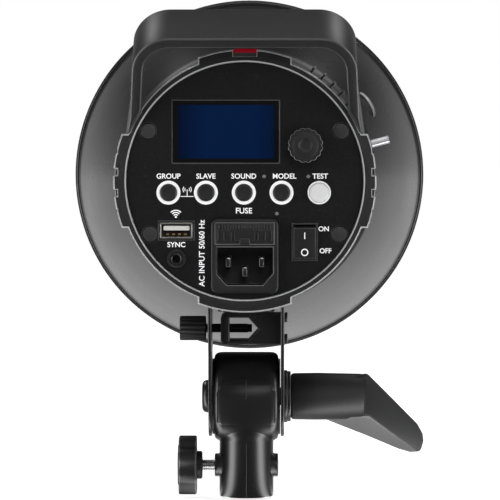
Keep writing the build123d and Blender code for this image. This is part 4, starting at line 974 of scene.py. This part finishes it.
# knobs and screws
lockKnob = {"x": -30.45, "up": 14.0, "radius": 13.6, "length": 8.1, "hub": 6.3, "hubLength": 2.5, "lobes": 8}
lockScrew = {"start": -24.0, "end": -10.6, "radius": 2.5, "pitch": 0.8}
thumb = {"x": -30.0, "up": 75.75, "radius": 5.55, "length": 11.8, "shaft": 2.0, "tip": 0.9, "collar": 0.12}


def threaded(name, spot, start, end, radius, pitch):
    # a screw's thread as close rings along X
    profile = [(start, 0)]
    for index in range(int((end - start) / pitch)):
        x = start + index * pitch
        profile += [(x, radius - 0.42), (x + 0.25 * pitch, radius - 0.02), (x + 0.45 * pitch, radius),
                    (x + 0.75 * pitch, radius - 0.4)]
    profile += [(end, radius - 0.42), (end, 0)]
    return turned(name, profile, spot, "X", 28)


def makeLockKnob():
    spot = standSpot(lockKnob["up"])
    x = lockKnob["x"]
    knob = fluted("lockKnob", spot + axes["X"] * x * mm, "X", lockKnob["radius"], lockKnob["length"],
                  [0.87, 0.885, 0.93, 0.985, 1, 1, 1, 0.985, 0.93, 0.885], lockKnob["lobes"])
    wear(knob, "dullPlastic")
    # the knob's bevels wear the lighter edge finish, a painted highlight
    bevelEdges(knob, 0.7, 3, angle=40, paintHighlight=True)
    back = x + lockKnob["length"]
    end = back + lockKnob["hubLength"]
    hub = turned("hub", [(back - 0.2, 0), (back - 0.2, lockKnob["hub"]), (end - 0.5, lockKnob["hub"]),
                         (end, lockKnob["hub"] - 0.5), (end, 0)], spot, "X", 40)
    wear(hub, "dullPlastic")
    ring = [(0.1, 9.4), (-0.4, 8.9), (-0.4, 6.8), (0.1, 6.2), (0.1, 0), (0.6, 0), (0.6, 9.4), (0.1, 9.4)]
    face = turned("face", [(x + out, radius) for out, radius in ring], spot, "X", 48)
    wear(face, "dullPlastic")
    piece = join("lockKnob", [knob, hub, face])
    smooth(piece, 40)
    stand(piece, "lock_knob", "black_plastic", "lock_knob")
    screw = threaded("lockScrew", spot, **lockScrew)
    finish(screw, "threadSteel", "lock_knob", "steel", "lock_screw", smoothing=20)


def makeThumbscrew():
    spot = standSpot(thumb["up"])
    head = fluted("thumbscrew", spot + axes["X"] * thumb["x"] * mm, "X", thumb["radius"], thumb["length"],
                  [0.9, 0.96, 1, 1, 0.96], 16)
    wear(head, "dullPlastic")
    bevelEdges(head, 0.6, 2, angle=60)
    end, shank, tip = thumb["x"] + thumb["length"], thumb["shaft"], thumb["tip"]
    collar = end + thumb["collar"]
    shaft = turned("shaft", [(end - 0.5, 0), (end - 0.5, 4.0), (collar, 3.6), (collar, shank),
                             (tip - 0.3, shank), (tip, shank - 0.3), (tip, 0)], spot, "X", 32)
    wear(shaft, "softBlack")
    piece = join("thumbscrew", [head, shaft])
    smooth(piece, 30)
    stand(piece, "umbrella_thumbscrew", slotOf["umbrella_thumbscrew"], "umbrella_thumbscrew")


makeLockKnob()
makeThumbscrew()

# tilt head
tilt = {"up": 45.0, "radius": 20.0, "halfWidth": 14.45, "tube": 12.15, "collar": 14.0, "bore": 8.1,
        "boreDepth": 27.5, "boss": 5.25, "bossAt": 14.0, "bossFace": 14.25, "bolt": 4.08, "screwHole": 3.65,
        "padCorner": 9.5, "padFoot": 3.0, "padLift": 0.9, "seamUp": 24.5, "seamTop": 21.12}


def makeTiltHead():
    spot, boss = standSpot(tilt["up"]), standSpot(tilt["bossAt"])
    w, r = tilt["halfWidth"], tilt["radius"]
    # half of the barrel's profile, from its middle to its cheek, and the same mirrored
    half = [(w - 4, r), (w - 2.2, r - 0.15), (w - 1.0, r - 0.7), (w - 0.3, r - 1.5), (w, r - 2.6), (w, 0)]
    barrel = turned("tiltHead", [(-x, radius) for x, radius in reversed(half)] + half, spot, "X", 96)
    tube, collar = tilt["tube"], tilt["collar"]
    stem = [(0.0, 0), (0.0, 11.4), (0.25, 11.9), (0.9, tube), (24.6, tube), (26.2, 12.5), (27.6, 13.6),
            (29.0, collar), (34.0, collar), (34.0, 0)]
    carve(barrel, turned("tube", stem, standSpot(0), "Z", 96), "UNION")
    for side in (-1, 1):
        profile = [(8, 0), (8, 6.2), (11.2, 5.9), (12.6, tilt["boss"]), (13.9, tilt["boss"]),
                   (tilt["bossFace"], 4.9), (tilt["bossFace"], 0)]
        carve(barrel, turned("boss", [(side * x, radius) for x, radius in profile], boss, "X", 40), "UNION")
    bore, deep, bolt, screw = tilt["bore"], tilt["boreDepth"], tilt["bolt"], tilt["screwHole"]
    for line, at, axis in (
            ([(-1, 0), (-1, 8.9), (0, 8.9), (0.8, bore), (deep, bore), (deep, 0)], standSpot(0), "Z"),
            ([(-20, 0), (-20, screw), (-4, screw), (-4, 0)], boss, "X"),
            ([(13.0, 0), (13.0, 2.6), (20, 2.6), (20, 0)], boss, "X"),
            ([(-20, 0), (-20, bolt), (20, bolt), (20, 0)], spot, "X")):
        carve(barrel, turned("tool", line, at, axis, 40))
    finish(barrel, "headPlastic", "stand_head", "black_plastic", "tilt_head", smoothing=32)
    # the raised pad on the back: a fatter barrel cut to an arched outline
    corner, foot, up = tilt["padCorner"], tilt["padFoot"], tilt["up"]
    arch = ringPoints(corner, 4.1, up, 8, 0, 90) + ringPoints(corner, -4.1, up, 8, 90, 90)
    arch += ringPoints(foot, -10.6, up - 8.6, 4, 180, 90) + ringPoints(foot, 10.6, up - 8.6, 4, 270, 90)
    crown = r + tilt["padLift"]
    half = [(w - 3.6, crown), (w - 2.0, crown - 0.5), (w - 0.7, r - 1.4), (w - 0.7, 0)]
    pad = turned("tiltHeadPad", [(-x, radius) for x, radius in reversed(half)] + half, spot, "X", 128)
    carve(pad, prism("tool", arch, -24, 16), "INTERSECT")
    wear(pad, "headPlastic")
    bevelEdges(pad, 0.5, 3, angle=40)
    smooth(pad, 30)
    stand(pad, "stand_head", "black_plastic")
    # the mould's parting line, up the tube and over the barrel's back
    high, top = tilt["seamUp"], tilt["seamTop"]
    strip = [(-12.45, 0.4), (-12.45, high), (-11.0, high), (-11.0, 0.4)]
    seam = prism("partingLine", strip, -0.12, 0.24, "side")
    over = turned("seamTop", [(-0.11, 20.6), (-0.11, top), (0.11, top), (0.11, 20.6), (-0.11, 20.6)],
                  spot, "X", 10, arc=24.0, start=90.0)
    finish(join("partingLine", [seam, over]), "edgePlastic", "stand_head", "black_plastic",
           bevel=(0.05, 1, False))


makeTiltHead()

# tilt lever
lever = {"start": 19.95, "elbow": 54.5, "up": 45.0, "rearFace": -5.5, "frontFace": 6.0,
         "upperEdge": ((40.0, 8.0), (54.5, 10.1), (66.5, -1.9), (77.2, -12.8), (79.2, -16.5)),
         "rearLower": ((79.6, -19.8), (78.8, -23.2), (77.3, -25.0), (66.0, -17.0), (54.9, -8.7), (47.0, -8.9),
                       (40.0, -8.0)),
         "frontLower": ((79.4, -20.2), (78.2, -24.2), (74.5, -25.9), (68.6, -24.6), (54.0, -18.6),
                        (43.0, -14.2), (32.5, -9.9))}


def makeLever():
    # two faces with one upper edge: the front one hangs lower, so the underside slopes
    faces = []
    for y, lower in ((lever["rearFace"], lever["rearLower"]), (lever["frontFace"], lever["frontLower"])):
        outline = lever["upperEdge"] + lower
        faces.append(drawLine("tiltLever", [Vector((x, y, lever["up"] + z)) * mm for x, z in outline]))
        bpy.ops.mesh.edge_face_add()
        bpy.ops.object.mode_set(mode="OBJECT")
    arm = join("tiltLever", faces)
    edit("EDGE")
    bpy.ops.mesh.select_all(action="SELECT")
    bpy.ops.mesh.bridge_edge_loops()
    outside()
    wear(arm, "texturedPlastic", "webGrey")
    for face in arm.data.polygons:
        # the webbed underside gets a lighter grey: painted light on its downward faces
        low = 1000 * face.center.z - lever["up"]
        if face.normal.z < -0.25 and low < -8 and abs(face.normal.y) < 0.97:
            face.material_index = 1
    bevelEdges(arm, 1.3, 4, angle=40)
    start, elbow = lever["start"], lever["elbow"]
    profile = [(start, 4.3), (start, 9.4), (start + 0.4, 10.0), (start + 1.2, 10.45), (start + 12, 10.6),
               (elbow - 3.2, 10.2), (elbow - 1.8, 9.9), (elbow - 1.0, 9.0), (elbow - 0.8, 0)]
    hub = turned("hub", profile, standSpot(lever["up"]), "X", 72)
    wear(hub, "texturedPlastic")
    piece = join("tiltLever", [arm, hub])
    smooth(piece, 32)
    stand(piece, "tilt_lever", "black_plastic", "tilt_lever")


makeLever()
print("stand head and lever made")

# modelling lamp and flash tube
bulb = {"neckBack": 84.0, "front": 153.0, "radius": 15.9, "wall": 0.8, "holderFront": 101.0,
        "domeFrom": 137.0, "dome": 16.0, "rings": 4, "ringPitch": 3.2, "wireApart": 4.5,
        "filamentAt": 131.0, "turns": 14, "turnPitch": 0.65, "firstTurn": -4.2}


def makeBulb():
    neck, wide, dome = bulb["holderFront"], bulb["radius"], bulb["domeFrom"]
    outer = [(neck + 0.5, 8.2), (103.0, 8.9), (106.0, 11.2), (110.0, 14.2), (115.0, wide - 0.2),
             (121.0, wide), (130.0, wide), (dome, wide - 0.1)]
    for angle in range(15, 91, 15):
        outer.append((dome + bulb["dome"] * sin(radians(angle)), (wide - 0.1) * cos(radians(angle))))
    inner = [(y - 0.7, max(r - bulb["wall"], 0)) for y, r in reversed(outer)]
    outline = outer[:-1] + [(bulb["front"], 0), (bulb["front"] - bulb["wall"], 0)] + inner[1:] + [outer[0]]
    finish(turned("bulbGlass", outline, lampAxis, "Y", 64), "clearGlass", "lamp", "clear_glass",
           "modelling_lamp", smoothing=60)
    back = bulb["neckBack"]
    profile = [(back, 0), (back, 4.5), (back + 2, 8.2)]
    for index in range(bulb["rings"]):
        y = back + 3 + bulb["ringPitch"] * index
        profile += [(y, 8.3), (y + 1.0, 8.9), (y + 2.0, 8.9)]
    profile += [(neck + 0.8, 8.7), (neck + 0.8, 0)]
    finish(turned("bulbCap", profile, lampAxis, "Y", 48), "brass", "lamp", "brass", smoothing=30)
    stem = [(101.9, 0), (101.9, 3.2), (108, 2.6), (116, 1.6), (119.0, 2.2), (120.0, 0)]
    finish(turned("bulbStem", stem, lampAxis, "Y", 24), "clearGlass", "lamp", "clear_glass", smoothing=50)
    coilY = bulb["filamentAt"]
    wire = turned("wire", [(112, 0), (112, 0.3), (coilY, 0.3), (coilY, 0)], lampAxis, "Y", 8)
    parts = copied(wire, [shift(side * bulb["wireApart"]) for side in (-1, 1)])
    coil = turned("coil", [(-0.16, 0.75), (0.16, 0.75), (0.16, 1.0), (-0.16, 1.0), (-0.16, 0.75)],
                  lampAxis + axes["Y"] * coilY * mm, "X", 10)
    places = [bulb["firstTurn"] + bulb["turnPitch"] * index for index in range(bulb["turns"])]
    parts += copied(coil, [shift(right) for right in places])
    finish(join("filament", parts), "brightSteel", "lamp", "steel")


tubeLegs = {"right": 7.0, "up": -32.25}


def makeTubeEnds():
    # a ceramic sleeve on each leg of the ring tube
    sleeve = turned("tubeEnds", [(96.0, 0), (96.0, 4.5), (96.6, 4.7), (100.5, 4.7), (101.0, 4.4), (101.0, 0)],
                    lampAxis, "Y", 32)
    sleeves = copied(sleeve, [shift(side * tubeLegs["right"], 0, tubeLegs["up"]) for side in (-1, 1)])
    finish(join("tubeEnds", sleeves), "ceramic", "lamp", "ceramic", smoothing=35)


makeBulb()
makeTubeEnds()
print("lamps made")

# floor, light and camera
stageSizes = {"floorSize": 60.0, "floorDrop": 0.001, "glowNear": 0.42, "glowSeen": 0.8,
              "glowBehind": 0.12, "glowAhead": 1.0, "cardGlow": 8.0, "cardTurn": (0.68, 0.8, 0.92, 0.99),
              "dimFrom": 0.64, "brightFrom": 0.97, "dim": 0.05, "bright": 0.95,
              "lowFrom": -0.2, "highFrom": 0.35, "low": 1.2, "high": 0.05}


def makeFloor():
    # a pale lit table: it glows a little more away from the lamp, so that it meets the backdrop
    deselectAll()
    bpy.ops.mesh.primitive_plane_add(size=stageSizes["floorSize"],
                                     location=(0, 0, -stageSizes["floorDrop"]))
    floor = bpy.context.object
    floor.name = "floor"
    settle(floor)
    material, tree, shader = newMaterial("floorWhite")
    shader.inputs["Roughness"].default_value = 0.9
    shader.inputs["Specular IOR Level"].default_value = 0.1
    shader.inputs["Emission Color"].default_value = (1, 1, 1, 1)
    coords = tree.nodes.new("ShaderNodeTexCoord")
    far = tree.nodes.new("ShaderNodeVectorMath")
    far.operation = "LENGTH"
    tree.links.new(coords.outputs["Object"], far.inputs[0])
    split = tree.nodes.new("ShaderNodeSeparateXYZ")
    tree.links.new(coords.outputs["Object"], split.inputs["Vector"])
    path = tree.nodes.new("ShaderNodeLightPath")
    # what the eye and soft light see: an evenly lit pale table
    lit = mapRange(tree, far.outputs["Value"], 0.3, 1.6, stageSizes["glowNear"], 1.0)
    seen = mathNode(tree, "MULTIPLY", path.outputs["Is Camera Ray"], stageSizes["glowSeen"])
    plain = mathNode(tree, "MAXIMUM", lit, seen)
    # what shiny surfaces mirror: dim behind the lamp, bright ahead of it, and a bright card on each side
    side = mathNode(tree, "DIVIDE", mathNode(tree, "ABSOLUTE", split.outputs["X"], 0), far.outputs["Value"])
    fadeIn, full, lastFull, gone = stageSizes["cardTurn"]
    card = mathNode(tree, "MULTIPLY", mapRange(tree, side, fadeIn, full, 0, 1),
                    mapRange(tree, side, lastFull, gone, 1, 0))
    behind = mapRange(tree, split.outputs["Y"], -0.02, 0.02, stageSizes["cardGlow"], 0)
    forward = mathNode(tree, "DIVIDE", split.outputs["Y"], far.outputs["Value"])
    ahead = mapRange(tree, forward, 0.55, 0.97, stageSizes["glowBehind"], stageSizes["glowAhead"])
    mirrored = mathNode(tree, "ADD", ahead, mathNode(tree, "MULTIPLY", card, behind))
    shiny = path.outputs["Is Glossy Ray"]
    glow = mathNode(tree, "ADD", mathNode(tree, "MULTIPLY", shiny, mirrored),
                    mathNode(tree, "MULTIPLY", mathNode(tree, "SUBTRACT", 1, shiny), plain))
    tone = mixColor(tree, shiny, (0.86, 0.86, 0.86, 1), (0.03, 0.03, 0.03, 1))
    tree.links.new(tone, shader.inputs["Base Color"])
    tree.links.new(glow, shader.inputs["Emission Strength"])
    floor.data.materials.append(material)


def makeWorld():
    # soft studio surround: bright in front of the lamp, dim behind it, white to the eye
    world = bpy.data.worlds.new("studio")
    bpy.context.scene.world = world
    world.use_nodes = True
    tree = world.node_tree
    tree.nodes.clear()
    coords = tree.nodes.new("ShaderNodeTexCoord")
    split = tree.nodes.new("ShaderNodeSeparateXYZ")
    tree.links.new(coords.outputs["Generated"], split.inputs["Vector"])
    ahead = mapRange(tree, split.outputs["Y"], stageSizes["dimFrom"], stageSizes["brightFrom"],
                     stageSizes["dim"], stageSizes["bright"])
    height = mapRange(tree, split.outputs["Z"], stageSizes["lowFrom"], stageSizes["highFrom"],
                      stageSizes["low"], stageSizes["high"])
    strength = mathNode(tree, "MULTIPLY", ahead, height)
    lit = tree.nodes.new("ShaderNodeBackground")
    lit.inputs["Color"].default_value = (1, 1, 1, 1)
    tree.links.new(strength, lit.inputs["Strength"])
    seen = tree.nodes.new("ShaderNodeBackground")
    seen.inputs["Color"].default_value = (1, 1, 1, 1)
    seen.inputs["Strength"].default_value = 1.0
    path = tree.nodes.new("ShaderNodeLightPath")
    mixed = tree.nodes.new("ShaderNodeMixShader")
    tree.links.new(path.outputs["Is Camera Ray"], mixed.inputs["Fac"])
    tree.links.new(lit.outputs["Background"], mixed.inputs[1])
    tree.links.new(seen.outputs["Background"], mixed.inputs[2])
    end = tree.nodes.new("ShaderNodeOutputWorld")
    tree.links.new(mixed.outputs["Shader"], end.inputs["Surface"])


softboxes = {
    "leftCorner": {"place": (-0.75, 0.85, 1.35), "size": (0.3, 0.3), "power": 6},
    "rightCorner": {"place": (0.75, 0.85, 1.35), "size": (0.3, 0.3), "power": 6},
    "leftStrip": {"place": (-1.3, -0.75, 0.5), "size": (0.3, 0.9), "power": 7},
    "rightStrip": {"place": (1.3, -0.75, 0.5), "size": (0.3, 0.9), "power": 7},
    "topBack": {"place": (0.0, -1.1, 1.55), "size": (1.2, 0.35), "power": 5},
    "topBox": {"place": (0.0, 0.2, 1.8), "size": (1.2, 0.5), "power": 3},
    "backFill": {"place": (0.25, -2.2, 1.0), "size": (0.8, 0.8), "power": 6},
}


def aim(thing, target):
    thing.rotation_euler = (Vector(target) - thing.location).to_track_quat("-Z", "Y").to_euler()


def makeLights():
    for name, values in softboxes.items():
        light = bpy.data.lights.new(name, "AREA")
        light.shape = "RECTANGLE"
        light.size, light.size_y = values["size"]
        light.energy = values["power"]
        lamp = bpy.data.objects.new(name, light)
        lamp.location = values["place"]
        bpy.context.scene.collection.objects.link(lamp)
        aim(lamp, (0, 0, lampAxis.z))


viewpoint = {"behind": 1.430, "right": 0.0102, "up": 0.0139, "aimRight": 0.0016, "aimDrop": 0.0321,
             "focalLength": 245.7}


def makeCamera():
    camera = bpy.data.cameras.new("camera")
    camera.lens = viewpoint["focalLength"]
    camera.sensor_width = 36
    camera.clip_end = 50
    eye = bpy.data.objects.new("camera", camera)
    eye.location = (viewpoint["right"], panelY - viewpoint["behind"], lampAxis.z + viewpoint["up"])
    bpy.context.scene.collection.objects.link(eye)
    aim(eye, (viewpoint["aimRight"], 0, lampAxis.z - viewpoint["aimDrop"]))
    bpy.context.scene.camera = eye


makeFloor()
makeWorld()
makeLights()
makeCamera()
bpy.context.scene.view_settings.view_transform = "Standard"
print("stage set")
